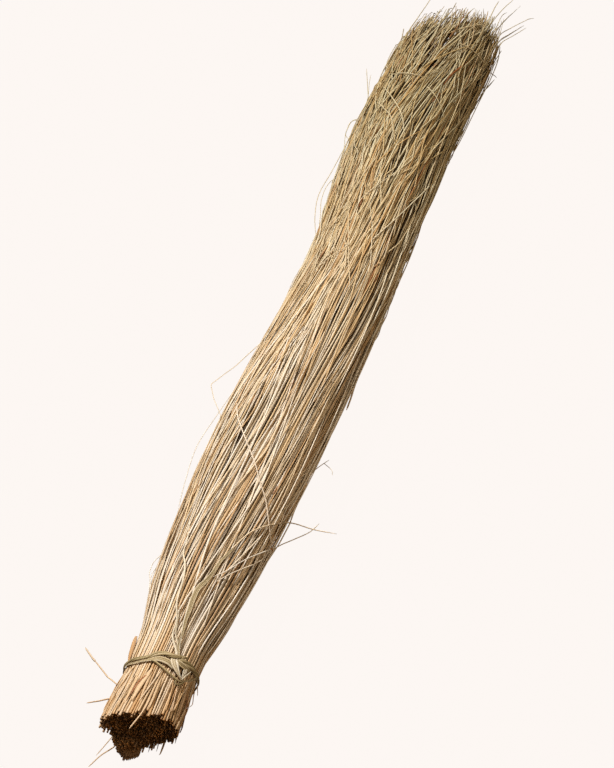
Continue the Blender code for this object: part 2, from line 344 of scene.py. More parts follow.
class Piece:
    """One mesh object, gathered from strands."""

    def __init__(self, name: str) -> None:
        """Starts an empty piece of this name."""
        self.name = name
        self.parts: list[Strands] = []

    def add(self, *strands: Strands) -> "Piece":
        """Takes in more strands."""
        self.parts.extend(strands)
        return self

    def made(self, finish: Finish, slot: Slot, replaced: tuple[str, ...] = ()) -> bpy.types.Object:
        """Builds the object: each strand is a closed skin, with its own strip of the UV map.

        Args:
            finish: the material.
            slot: the record's slot; not used.
            replaced: the CAD nodes that it takes the place of.

        Returns:
            The object, riding on the root.
        """
        total = sum(len(part.rings) for part in self.parts)
        rows = max(1, round(math.sqrt(total / 24)))
        columns = math.ceil(total / rows)
        points, corners, counts, maps = [], [], [], []
        marks: dict[str, list[Array]] = {"tone": [], "share": [], "depth": [], "cut": [], "grain": []}
        base = strip = 0
        for part in self.parts:
            n, k, m = part.rings.shape[:3]
            points.append(part.rings.reshape(-1, 3))
            for name in ("tone", "share", "depth", "cut"):
                marks[name].append(getattr(part, name).reshape(-1))
            index = base + np.arange(n * k * m).reshape(n, k, m)
            beside = np.roll(index, -1, axis=2)
            quads = np.stack([index[:, :-1], index[:, 1:], beside[:, 1:], beside[:, :-1]], axis=-1)
            caps = np.stack([index[:, 0], index[:, -1, ::-1]], axis=1)
            corners += [quads.reshape(-1), caps.reshape(-1)]
            counts += [np.full(quads.size // 4, 4), np.full(caps.size // m, m)]
            number = (strip + np.arange(n))[:, None, None]
            left, low = (number % columns) / columns, (number // columns) / rows
            across = left + (0.1 + 0.8 * np.arange(m + 1) / m) / columns
            upward = low + (0.02 + 0.96 * np.arange(k) / (k - 1)) / rows
            u = np.stack([across[..., :-1], across[..., :-1], across[..., 1:], across[..., 1:]], axis=-1)
            v = np.swapaxes(upward, 1, 2)
            v = np.stack([v[:, :-1], v[:, 1:], v[:, 1:], v[:, :-1]], axis=-1)
            maps.append(np.stack(np.broadcast_arrays(u, v), axis=-1).reshape(-1, 2))
            rims = np.stack([upward[..., :1], upward[..., -1:]], axis=1)[..., 0]
            maps.append(np.stack(np.broadcast_arrays(across[..., :-1], rims), axis=-1).reshape(-1, 2))
            steps = np.linalg.norm(np.diff(part.rings.mean(axis=2), axis=1), axis=-1)
            run = np.concatenate([np.zeros((n, 1)), steps.cumsum(axis=1)], axis=1)[..., None]
            turn = 2 * math.pi * np.arange(m) / m
            wide = 0.6 if m < 10 else 1.5
            grain = np.broadcast_arrays(wide * np.cos(turn) + 9.7 * number, wide * np.sin(turn), 12 * run)
            marks["grain"].append(np.stack(grain, axis=-1).reshape(-1, 3))
            base += n * k * m
            strip += n
        data = bpy.data.meshes.new(self.name)
        cloud, loops, sizes = np.concatenate(points), np.concatenate(corners), np.concatenate(counts)
        cloud[:, 2] = np.maximum(cloud[:, 2], 0.15 * MM)
        data.vertices.add(len(cloud))
        data.vertices.foreach_set("co", cloud.astype(np.float32).reshape(-1))
        data.loops.add(len(loops))
        data.loops.foreach_set("vertex_index", loops.astype(np.int32))
        data.polygons.add(len(sizes))
        data.polygons.foreach_set("loop_start", (np.cumsum(sizes) - sizes).astype(np.int32))
        uvs = np.concatenate(maps).astype(np.float32).reshape(-1)
        data.uv_layers.new(name="OFBake").data.foreach_set("uv", uvs)
        for name, values in marks.items():
            kind, key = ("FLOAT_VECTOR", "vector") if name == "grain" else ("FLOAT", "value")
            layer = data.attributes.new(name, kind, "POINT")
            layer.data.foreach_set(key, np.concatenate(values).astype(np.float32).reshape(-1))
        data.update(calc_edges=True)
        data.validate()
        data.shade_smooth()
        data.materials.append(finish)
        thing = bpy.data.objects.new(self.name, data)
        bpy.context.scene.collection.objects.link(thing)
        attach(thing, "root")
        if replaced:
            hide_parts(*replaced)
        log.info("%s: %d strands, %d triangles", self.name, total, int((sizes - 2).sum()))
        return thing


def add(tree: Tree, kind: str, inputs: dict[Any, Any] | None = None, **settings: Any) -> bpy.types.Node:
    """Adds a node with its settings, and links or sets its inputs.

    Args:
        tree: the node tree.
        kind: the node's type, without ShaderNode.
        inputs: for each input, a socket to link or a value to set.
        settings: the node's own properties.

    Returns:
        The node.
    """
    made = tree.nodes.new("ShaderNode" + kind)
    for name, value in settings.items():
        setattr(made, name, value)
    for name, value in (inputs or {}).items():
        if isinstance(value, Socket):
            tree.links.new(value, made.inputs[name])
        else:
            made.inputs[name].default_value = value
    return made


def ramp(tree: Tree, factor: Socket, stops: Stops) -> Socket:
    """A colour ramp.

    Args:
        tree: the node tree.
        factor: what the ramp reads.
        stops: its places and hex colours.

    Returns:
        The colour's socket.
    """
    made = add(tree, "ValToRGB", {"Fac": factor})
    band = made.color_ramp
    while len(band.elements) < len(stops):
        band.elements.new(0.5)
    for element, (place, code) in zip(band.elements, stops):
        element.position = place
        element.color = linear(code)
    return made.outputs["Color"]


def mixed(tree: Tree, factor: Any, first: Any, second: Any, blend: str = "MIX") -> Socket:
    """Two colours mixed."""
    made = add(tree, "Mix", {0: factor, 6: first, 7: second}, data_type="RGBA", blend_type=blend)
    return made.outputs[2]


@dataclass(frozen=True)
class StrawFinish:
    """Dried stems: cut green and dried in the sun, so each has its own shade from cream to brown.

    The eye sees pale matte straw, olive to the tips, with fine lengthwise streaks and orange-brown stains.
    """

    name: str = "dried_seagrass_straw"
    shades: Stops = (
        (0.0, "#9C6238"), (0.1, "#C49F72"), (0.35, "#DEC6A0"), (0.62, "#E8DCC8"), (0.84, "#EFEAE2"),
        (0.93, "#E0BA8A"), (1.0, "#D0C4A8"),
    )
    by_share: Stops = (
        (0.0, "#E4CCB0"), (0.055, "#F0DDC6"), (0.1, "#FDF6EE"), (0.45, "#FDF6EA"), (0.64, "#ECE3CA"),
        (0.8, "#DAD4B6"), (0.9, "#D0CAAE"), (1.0, "#CAC6AE"),
    )
    stain: str = "#A4703A"
    stain_from: float = 0.63
    # Painted shade: the near black in the hollow of each cut stem end.
    inside: str = "#241408"
    rim: str = "#BC8444"
    # Painted shade: the dark brown that stems deep in the bunch, and the sides of stems facing into it, are
    # mixed toward, up to deepest.
    deep: str = "#50300C"
    deepest: float = 0.80
    streaks: Pair = (0.82, 1.08)
    roughness: float = 0.48

    def material(self) -> Finish:
        """Builds the material: each stem's own shade, times its place along the bunch, with streaks, stains and
        painted shade.

        Returns:
            The material.
        """
        made = bpy.data.materials.new(self.name)
        made.use_nodes = True
        tree = made.node_tree
        shader = tree.nodes["Principled BSDF"]
        shader.inputs["Specular IOR Level"].default_value = 0.4
        marks = ("tone", "share", "depth", "cut")
        tone, share, depth, cut = (add(tree, "Attribute", attribute_name=n).outputs["Fac"] for n in marks)
        grain = add(tree, "Attribute", attribute_name="grain").outputs["Vector"]
        colour = mixed(tree, 1.0, ramp(tree, tone, self.shades), ramp(tree, share, self.by_share), "MULTIPLY")
        # A dried stem's ribs are about 0.2 mm apart, too fine to show, so its streaks are drawn about
        # 0.9 mm wide and 50 mm long.
        noise = {"Vector": grain, "Scale": 1.6, "Detail": 3.0, "Roughness": 0.6}
        streak = add(tree, "TexNoise", noise).outputs["Fac"]
        dark, pale = self.streaks
        span = {"Value": streak, "From Min": 0.3, "From Max": 0.7, "To Min": dark, "To Max": pale}
        colour = mixed(tree, 1.0, colour, add(tree, "MapRange", span).outputs[0], "MULTIPLY")
        # Stains run about 150 mm along a stem.
        noise = {"Vector": grain, "Scale": 0.55, "Detail": 4.0, "Roughness": 0.65}
        spots = add(tree, "TexNoise", noise).outputs["Fac"]
        span = {"Value": spots, "From Min": self.stain_from, "From Max": self.stain_from + 0.1}
        colour = mixed(tree, add(tree, "MapRange", span).outputs[0], colour, linear(self.stain))
        # Painted shade: stems deep in the bunch and the sides facing into it go toward the dark brown.
        span = {"Value": depth, "From Min": 0.08, "From Max": 1.1, "To Max": self.deepest}
        colour = mixed(tree, add(tree, "MapRange", span).outputs[0], colour, linear(self.deep))
        # The cut ends: a brown rim, and painted shade, near black, in each stem's hollow.
        ends = ramp(tree, cut, ((0.0, self.rim), (0.55, self.rim), (0.8, self.inside), (1.0, self.inside)))
        # The cut face has darker patches about 11 mm across.
        place = add(tree, "TexCoord").outputs["Object"]
        patch = add(tree, "TexNoise", {"Vector": place, "Scale": 90.0, "Detail": 3.0}).outputs["Fac"]
        patch = ramp(tree, patch, ((0.36, "#7A7068"), (0.52, "#C8BCAC"), (0.66, "#FFF4E4")))
        ends = mixed(tree, 1.0, ends, patch, "MULTIPLY")
        edge = add(tree, "MapRange", {"Value": cut, "From Min": 0.05, "From Max": 0.35}).outputs[0]
        colour = mixed(tree, edge, colour, ends)
        tree.links.new(colour, shader.inputs["Base Color"])
        span = {"Value": streak, "To Min": self.roughness - 0.1, "To Max": self.roughness + 0.15}
        tree.links.new(add(tree, "MapRange", span).outputs[0], shader.inputs["Roughness"])
        ridge = add(tree, "Bump", {"Height": streak, "Strength": 0.35, "Distance": 0.0004})
        tree.links.new(ridge.outputs[0], shader.inputs["Normal"])
        return made


@dataclass(frozen=True)
class StemSizes:
    """The stems' numbers and sizes."""

    count: int = 740
    settled: int = 460
    stations: int = 68
    rounds: int = 22
    room: float = 1.22
    rings: int = 84
    sides: int = 5
    inner_rings: int = 16
    inner_sides: int = 5
    radius: Knots = (
        (0.0, 1.0 * MM), (0.06, 0.88 * MM), (0.15, 0.92 * MM), (0.4, 0.92 * MM), (0.7, 0.86 * MM),
        (0.9, 0.76 * MM), (1.0, 0.64 * MM),
    )
    depth_kept: Knots = ((0.0, 0.92), (0.09, 0.92), (0.3, 0.44), (0.75, 0.46), (1.0, 0.9))
    outer_from: float = 0.70
    hollow: Pair = (1.6 * MM, 0.03 * MM)
    hole: Point = (0.30, 0.56, 0.92)
    # Painted shade starts this far under the surface and is full this much further in.
    shade_from: float = 1.6 * MM
    shade_over: float = 3.0 * MM


class StemField:
    """All the stems of the bunch, worked out together so that they lie side by side."""

    def __init__(self, sizes: StemSizes, seed: int) -> None:
        """Lays the stems out.

        Args:
            sizes: how many stems, and how thick.
            seed: for the generator of all the scatter.
        """
        self.sizes = sizes
        self.rng = rng = np.random.default_rng(seed)
        n = sizes.count
        order = np.arange(n)
        self.q = np.sqrt((order + 0.6) / n)
        self.angle = (order * math.pi * (3 - math.sqrt(5))) % (2 * math.pi)
        self.girth = np.clip(rng.lognormal(-0.06, 0.20, n), 0.58, 1.5)
        self.flat = np.where(rng.random(n) < 0.22, rng.uniform(0.42, 0.65, n), rng.uniform(0.8, 1.0, n))
        self.tone = 0.12 + 0.80 * rng.beta(2.6, 2.0, n)
        facing = np.degrees(self.angle) % 360
        rim = eased(self.q, 0.35, 0.95)
        self.start = rim * along(FORM.cut, facing) + (1 - rim) * FORM.cut_inside
        self.start = self.start + rng.normal(0, 0.0012, n) - np.abs(rng.normal(0, 0.0016, n)) * (self.q > 0.9)
        tip = FORM.end_share + FORM.end_slant * np.cos(FORM.drifted(self.angle, 1.0))
        short = np.where(rng.random(n) < 0.2, rng.uniform(-0.20, -0.02, n), rng.uniform(-0.022, 0.006, n))
        self.end = tip + short - 0.010 * (1 - self.q)
        self.at = np.linspace(-0.01, 1.05, sizes.stations)
        self.place = self.guide()
        self.settle()

    def waves(self, much: Array, low: float, high: float) -> Array:
        """One slow sine wave for each stem along the stations.

        Args:
            much: each wave's height.
            low: the fewest turns along the bunch.
            high: the most turns.

        Returns:
            Stations by stems.
        """
        rng, n = self.rng, self.sizes.count
        turns, shift = rng.uniform(low, high, n), rng.uniform(0, 2 * math.pi, n)
        return much * np.sin(2 * math.pi * turns * self.at[:, None] + shift)

    def guide(self) -> Array:
        """Where each stem would run by itself: the bunch's own flow, with its slow waves in angle and depth.

        Returns:
            Stations by stems by 2, the x and z from the middle line.
        """
        rng, n, at = self.rng, self.sizes.count, self.at[:, None]
        free = eased(at, FORM.tie_to - 0.02, 0.40)
        near = eased(at, FORM.tie_to - 0.02, 0.16)
        sway = self.waves(rng.normal(0, 2.4, n), 0.8, 1.8)
        sway = sway + self.waves(rng.normal(0, 0.8, n), 2.4, 4.0) + self.waves(rng.normal(0, 0.25, n), 5.0, 8.0)
        upper = eased(at, 0.5, 0.95)
        sway = np.radians(sway) * (0.35 * near + 0.65 * free) * (1 + 2.2 * upper)
        butt = np.radians(rng.normal(0, 1.8, n)) * (1 - eased(at, 0.0, 0.05))
        turn = FORM.drifted(self.angle[None], at) + sway + butt
        deep = (1 - self.q) * along(self.sizes.depth_kept, at) * along(FORM.radii, at)
        wave = self.waves(rng.normal(0, 0.6 * MM, n), 1.6, 3.2)
        wave = wave + self.waves(rng.normal(0, 0.3 * MM, n), 4.0, 6.0)
        reach = FORM.surface(turn, at) - deep - 1.0 * MM + wave * (0.15 + 0.85 * near) * (1 + 1.2 * upper)
        return np.stack([reach * np.cos(turn), reach * np.sin(turn)], axis=-1)

    def settle(self) -> None:
        """Pushes the outer stems apart until they lie side by side, inside the outline and over the floor.

        In each round, two stems closer than their two radii are each moved half the overlap away from the
        other at every station; the moves are then smoothed along the length.
        """
        sizes = self.sizes
        first = sizes.count - sizes.settled
        home = self.place[:, first:].copy()
        moved = home.copy()
        girth, flat = self.girth[first:], self.flat[first:]
        radius = sizes.room * along(sizes.radius, self.at)[:, None] * girth / flat**0.2
        rise = along(FORM.middle_z, self.at)[:, None]
        proud = self.waves(np.abs(self.rng.normal(0, 0.5 * MM, sizes.count)), 3.0, 7.0)[:, first:]
        proud = proud * (eased(self.at, FORM.tie_to, 0.2) + 1.2 * eased(self.at, 0.6, 0.9))[:, None]
        for _ in range(sizes.rounds):
            for s in range(len(self.at)):
                apart = moved[s, :, None] - moved[s, None]
                gap = np.hypot(apart[..., 0], apart[..., 1])
                np.fill_diagonal(gap, 1.0)
                push = np.clip(radius[s, :, None] + radius[s, None] - gap, 0, None) / np.maximum(gap, 1e-5)
                moved[s] += 0.45 * (apart * push[..., None]).sum(axis=1)
            shift = moved - home
            shift[1:-1] = 0.5 * shift[1:-1] + 0.25 * (shift[2:] + shift[:-2])
            moved = home + shift
            turn = np.arctan2(moved[..., 1], moved[..., 0])
            reach = np.hypot(moved[..., 0], moved[..., 1])
            most = FORM.surface(turn, self.at[:, None]) - 0.85 * radius + proud
            moved *= np.minimum(1, most / reach)[..., None]
            moved[..., 1] = np.maximum(moved[..., 1], radius - rise)
        self.place[:, first:] = moved

    def strands(self, rows: Array, rings: int, sides: int) -> Strands:
        """The tubes of these stems, hollow at the cut end and drawn out to a point at the tip.

        Args:
            rows: which stems.
            rings: how many rings along each.
            sides: how many corners in each ring.

        Returns:
            The strands.
        """
        rng = np.random.default_rng(int(rows[0]) + 7)
        n = len(rows)
        start, span = self.start[rows, None], (self.end - self.start)[rows, None]
        close = np.array([0, 0.4, 1.6, 5, 11]) * MM / FORM.length
        rest = np.linspace(0.019, 1, rings - len(close)) ** 0.94
        share = np.concatenate([start + close, start + span * rest], axis=1)
        t = (share - start) / span
        spot = (share - self.at[0]) / (self.at[1] - self.at[0])
        i = np.clip(spot.astype(int), 0, len(self.at) - 2)
        u = (spot - i)[..., None]
        flat = (1 - u) * self.place[i, rows[:, None]] + u * self.place[i + 1, rows[:, None]]
        path = FORM.middle(share)
        path[..., 0] += flat[..., 0]
        path[..., 2] += flat[..., 1]
        crimp = eased(share, 0.35, 0.95)[..., None] * MM
        for size, low, high in ((0.55, 10, 18), (0.30, 20, 26)):
            rate = rng.uniform(low, high, (n, 1, 2))
            wave = np.sin(2 * math.pi * rate * share[..., None] + rng.uniform(0, 2 * math.pi, (n, 1, 2)))
            path[..., ::2] += rng.normal(0, size, (n, 1, 2)) * wave * crimp
        tail = np.clip((t - 0.90) / 0.10, 0, 1)[..., None]
        path = path + rng.normal(0, 1, (n, 1, 3)) * np.array([3.4, 1.0, 3.4]) * MM * tail**1.8
        path[..., 2] = np.maximum(path[..., 2], 0.9 * MM)
        thinned = 1 - 0.55 * np.clip((t - 0.94) / 0.06, 0, 1)
        radius = along(self.sizes.radius, share) * self.girth[rows, None] * thinned
        reach = np.hypot(flat[..., 0], flat[..., 1])
        turn = np.arctan2(flat[..., 1], flat[..., 0])
        # Painted shade for the stems that lie under the surface, half as much near their tips.
        below = FORM.surface(turn, share) - reach
        depth = np.clip((below - self.sizes.shade_from) / self.sizes.shade_over, 0, 1)
        depth = depth * (1 - 0.5 * eased(start + span - share, 0.045, 0.004))
        ahead = unit(np.gradient(path, axis=1))
        hollow = path[:, :1] + np.array(self.sizes.hollow)[:, None] * ahead[:, :1]
        path = np.concatenate([hollow, path], axis=1)
        ahead = np.concatenate([ahead[:, :1], ahead[:, :1], ahead], axis=1)
        hole = [part * radius[:, :1] for part in self.sizes.hole]
        radius = np.concatenate([*hole, radius[:, 1:]], axis=1)
        share, depth, turn = (np.concatenate([a[:, :1], a[:, :1], a], axis=1) for a in (share, depth, turn))
        cut = np.zeros_like(share)
        # Painted light: the outer stems on the upper and left rim, which face the light, keep pale cut ends,
        # and about one in eight others have pale ends at random; the rest get the brown rim and the painted
        # shade of the hollow, and every pith stays in painted shade.
        facing = np.degrees(self.angle[rows, None]) % 360
        lit_rim_or_pale_end = (self.q[rows, None] > 0.88) * eased(facing, 40, 90) * eased(-facing, -215, -185)
        lit_rim_or_pale_end = lit_rim_or_pale_end * rng.uniform(0.4, 1.0, (n, 1))
        lit_rim_or_pale_end = np.maximum(lit_rim_or_pale_end, (rng.random((n, 1)) < 0.12) * rng.uniform(0.3, 0.9, (n, 1)))
        cut[:, :5] = np.array([1.0, 0.9, 0.5, 0.32, 0.10]) * (1 - 0.8 * lit_rim_or_pale_end)
        cut[:, 0] = 1.0
        roll = rng.normal(0, 0.3, (n, 1)) + rng.normal(0, 1.2, (n, 1)) * share
        section = round_section(radius, sides, self.flat[rows, None])
        return Strands.swept(path, FORM.outward(turn), section, self.tone[rows], share, depth, cut, roll, ahead)


@dataclass(frozen=True)
class Locks:
    """The bunch's locks, each dressed as its own stems."""

    stems: StemField
    finish: Finish
    count: int = 28

    def walls(self) -> Array:
        """The walls between the outer locks, as in the CAD.

        Returns:
            Their angles at the butts.
        """
        rng = np.random.default_rng(11)
        step = 2 * math.pi / self.count
        return np.array([(k + 0.22 * rng.uniform(-1, 1)) * step for k in range(self.count)])

    def build(self) -> None:
        """Builds a piece for each outer lock and one for the locks inside."""
        stems, sizes = self.stems, self.stems.sizes
        lock = (np.searchsorted(self.walls(), stems.angle, side="right") - 1) % self.count
        outer = stems.q > sizes.outer_from
        for k in range(self.count):
            rows = np.nonzero(outer & (lock == k))[0]
            piece = Piece(f"stems_of_lock_{k + 1:02d}").add(stems.strands(rows, sizes.rings, sizes.sides))
            piece.made(self.finish, Slot.STRAW if k % 3 else Slot.PALE, (f"stem_lock_{k + 1:02d}",))
        rows = np.nonzero(~outer)[0]
        piece = Piece("stems_inside").add(stems.strands(rows, sizes.inner_rings, sizes.inner_sides))
        piece.made(self.finish, Slot.INNER, (*[f"middle_lock_{k}" for k in range(1, 7)], "heart_lock"))


@dataclass(frozen=True)
class Scatter:
    """Strands strewn over the surface: how many, where, how long, and how they lie."""

    name: str
    count: int
    start: Pair
    length_mm: Pair
    radius_mm: Pair
    off_mm: Pair = (0.3, 1.3)
    slant: float = 4.0
    bends: float = 0.06
    free: float = 0.0
    lift_mm: float = 0.0
    flat: Pair = (0.8, 1.0)
    packed: float = 1.0
    tone: Pair = (2.0, 1.5)
    rings: int = 40
    sides: int = 5


@dataclass
class StrewnStems:
    """Stems, slivers and fibres that have worked loose and lie over the rest."""

    finish: Finish
    seed: int
    kinds: tuple[Scatter, ...] = (
        Scatter("wandering_stems", 140, (0.09, 0.6), (180, 420), (0.62, 0.95), (0.3, 1.4), 2.6, 0.04, rings=48),
        Scatter(
            "fine_slivers", 520, (0.085, 0.8), (60, 260), (0.42, 0.62), (0.4, 1.6), 2.4, 0.02, rings=18,
            sides=4,
        ),
        Scatter(
            "tangled_tops", 430, (0.52, 0.93), (40, 130), (0.42, 0.74), (0.2, 3.4), 9.0, 0.14, 0.2, 2.5,
            rings=22,
        ),
        Scatter(
            "matted_tips", 800, (0.8, 0.945), (36, 110), (0.45, 0.8), (-11.0, 0.4), 7.0, 0.1, rings=14, sides=4,
        ),
        Scatter(
            "tip_fringe", 260, (0.925, 0.968), (10, 28), (0.25, 0.45), (-6.0, 0.6), 9.0, 0.14, 0.4, 2.0,
            rings=12, sides=4,
        ),
        Scatter(
            "tips_inside", 950, (0.88, 0.93), (40, 110), (0.45, 0.8), (-41.0, -4.0), 6.0, 0.06, packed=0.5,
            rings=7, sides=4,
        ),
        Scatter("butt_crossers", 26, (0.004, 0.01), (34, 46), (0.55, 0.85), (0.3, 1.1), 8.0, 0.03, rings=20),
    )

    def __post_init__(self) -> None:
        """Starts the generator of the scatter."""
        self.rng = np.random.default_rng(self.seed)

    def strands(self, kind: Scatter) -> Strands:
        """Lays one kind of strands along the bunch's own flow.

        Across the flow, a strand runs off by its slant, with two rounded kinks; its ends are tucked in, or
        stand free where it is one of the free ones.

        Args:
            kind: the kind of strands.

        Returns:
            The strands.
        """
        rng, n = self.rng, kind.count
        t = np.linspace(0, 1, kind.rings)[None]

        def col(low: float, high: float) -> Array:
            """One number for each strand."""
            return rng.uniform(low, high, (n, 1))

        first, length = col(*kind.start), col(*kind.length_mm) * MM
        birth = col(0, 2 * math.pi)
        if kind.start[1] < FORM.tie_from:
            first = first + along(FORM.cut, np.degrees(birth))
        most = FORM.end_share + FORM.end_slant * np.cos(FORM.drifted(birth, 1.0)) + col(-0.02, 0.010)
        length = np.minimum(length, (most - first) * FORM.length)
        share = first + length / FORM.length * t
        across = np.radians(rng.normal(0, kind.slant, (n, 1))) * (t - 0.5)
        for _ in range(2):
            across = across + rng.normal(0, kind.bends, (n, 1)) * np.sqrt((t - col(0.15, 0.85)) ** 2 + 0.0006)
        turn = FORM.drifted(birth, share) + across * length / along(FORM.radii, share)
        tuck = 1 - np.sin(math.pi * t) ** 0.35
        loose = rng.random((n, 1)) < kind.free
        off = kind.off_mm[0] + (kind.off_mm[1] - kind.off_mm[0]) * col(0, 1) ** kind.packed
        off = off - 2.0 * tuck * np.where(loose & (t > 0.5), 0, 1)
        off = off + np.where(loose, col(0.2, 1.0) * kind.lift_mm * t**3, 0)
        off = off + rng.normal(0, 0.25, (n, 1)) * np.sin(2 * math.pi * (col(1, 3) * t + col(0, 1)))
        path = FORM.spot(share, turn, off * MM)
        path[..., 2] = np.maximum(path[..., 2], 0.8 * MM)
        radius = col(*kind.radius_mm) * MM * (1 - 0.6 * t**4) * (0.4 + 0.6 * np.clip(t / 0.06, 0, 1))
        section = round_section(radius, kind.sides, col(*kind.flat))
        # Painted shade for strands that lie under the surface, half as much near the bunch's tips.
        deep = np.clip((-off - 0.8) / 5, 0, 1) * (1 - 0.5 * eased(most - share, 0.045, 0.004))
        return Strands.swept(path, FORM.outward(turn), section, rng.beta(*kind.tone, n), share, deep)

    def build(self) -> None:
        """Builds one piece for each kind."""
        for kind in self.kinds:
            Piece(kind.name).add(self.strands(kind)).made(self.finish, Slot.LOOSE)


@dataclass(frozen=True)
class Ribbon:
    """A flat blade on its own route: share, degrees, mm off, mm wide and degrees of roll at each knot."""

    knots: Table
    tone: float = 0.5
    thick_mm: float = 0.45
    camber: float = 0.08
    folds: int = 0
    rings: int = 48
    bend: Bend = Bend.SMOOTH
    strips: int = 1
    turns: float = 0.0
    uneven: float = 0.16

    def strands(self) -> Strands:
        """The ribbon's skin; where it is torn into strips, they lie side by side or turn about each other.

        Returns:
            The strands, one for each strip.
        """
        table = walked(self.knots, self.rings, self.bend)
        share, turn, off, width, roll = table[None].transpose(2, 0, 1)
        turn, roll = np.radians(turn), np.radians(roll)
        path = FORM.spot(share, turn, off * MM)
        tone = np.array([self.tone])
        if self.strips > 1:
            strip = np.arange(self.strips)[:, None]
            ahead, out = unit(np.gradient(path, axis=1)), FORM.outward(turn)
            level = unit(out - (out * ahead).sum(-1, keepdims=True) * ahead)
            aside = np.cross(ahead, level)
            phase = 2 * math.pi * (self.turns * np.linspace(0, 1, self.rings) + strip / self.strips)
            place = 0.30 * np.cos(phase) if self.turns else (strip + 0.5) / self.strips - 0.5
            lift = 0.16 * np.sin(phase) if self.turns else 0.0 * phase
            lean = np.cos(roll)[..., None] * aside - np.sin(roll)[..., None] * level
            path = path + (place * width)[..., None] * MM * lean + (lift * width)[..., None] * MM * level
            width = width * (0.62 if self.turns else 1.0 / self.strips) * np.ones_like(phase)
            share = share * np.ones_like(phase)
            tone = self.tone + self.uneven * np.cos(2.4 * strip[:, 0])
        path[..., 2] = np.maximum(path[..., 2], 0.6 * MM)
        points = 5 if self.strips > 1 else 7
        section = blade_section(width * MM, self.thick_mm * MM, self.camber, self.folds, points)
        return Strands.swept(path, FORM.outward(turn), section, tone, share, roll=roll)


@dataclass(frozen=True)
class BladeFinish(StrawFinish):
    """The tie: flat blades of a greener grass, wetted, twisted and knotted, then dried.

    The eye sees grey-olive ribbons with fine darker lines along them and paler folds.
    """

    name: str = "twisted_tie_blade"
    shades: Stops = (
        (0.0, "#7C6A48"), (0.3, "#A29067"), (0.55, "#C2AE86"), (0.8, "#DDCDB0"), (1.0, "#EFE5D2"),
    )
    by_share: Stops = ((0.0, "#FFFFFF"), (1.0, "#FFFFFF"))
    stain: str = "#6B5A34"
    stain_from: float = 0.60
    # Painted shade: the dark brown for the blades' inward sides.
    deep: str = "#3E2C12"
    streaks: Pair = (0.6, 1.1)
    roughness: float = 0.5


@dataclass(frozen=True)
class FilmFinish(StrawFinish):
    """The thin skin that frays off the tips: so thin and bleached that the eye sees it pale grey."""

    name: str = "bleached_leaf_film"
    shades: Stops = ((0.0, "#D8D2C6"), (1.0, "#F6F4F0"))
    by_share: Stops = ((0.0, "#FFFFFF"), (1.0, "#FFFFFF"))
    stain_from: float = 0.85
    # Painted shade: the pale grey for the films' inward sides.
    deep: str = "#B8B0A4"
    roughness: float = 0.6


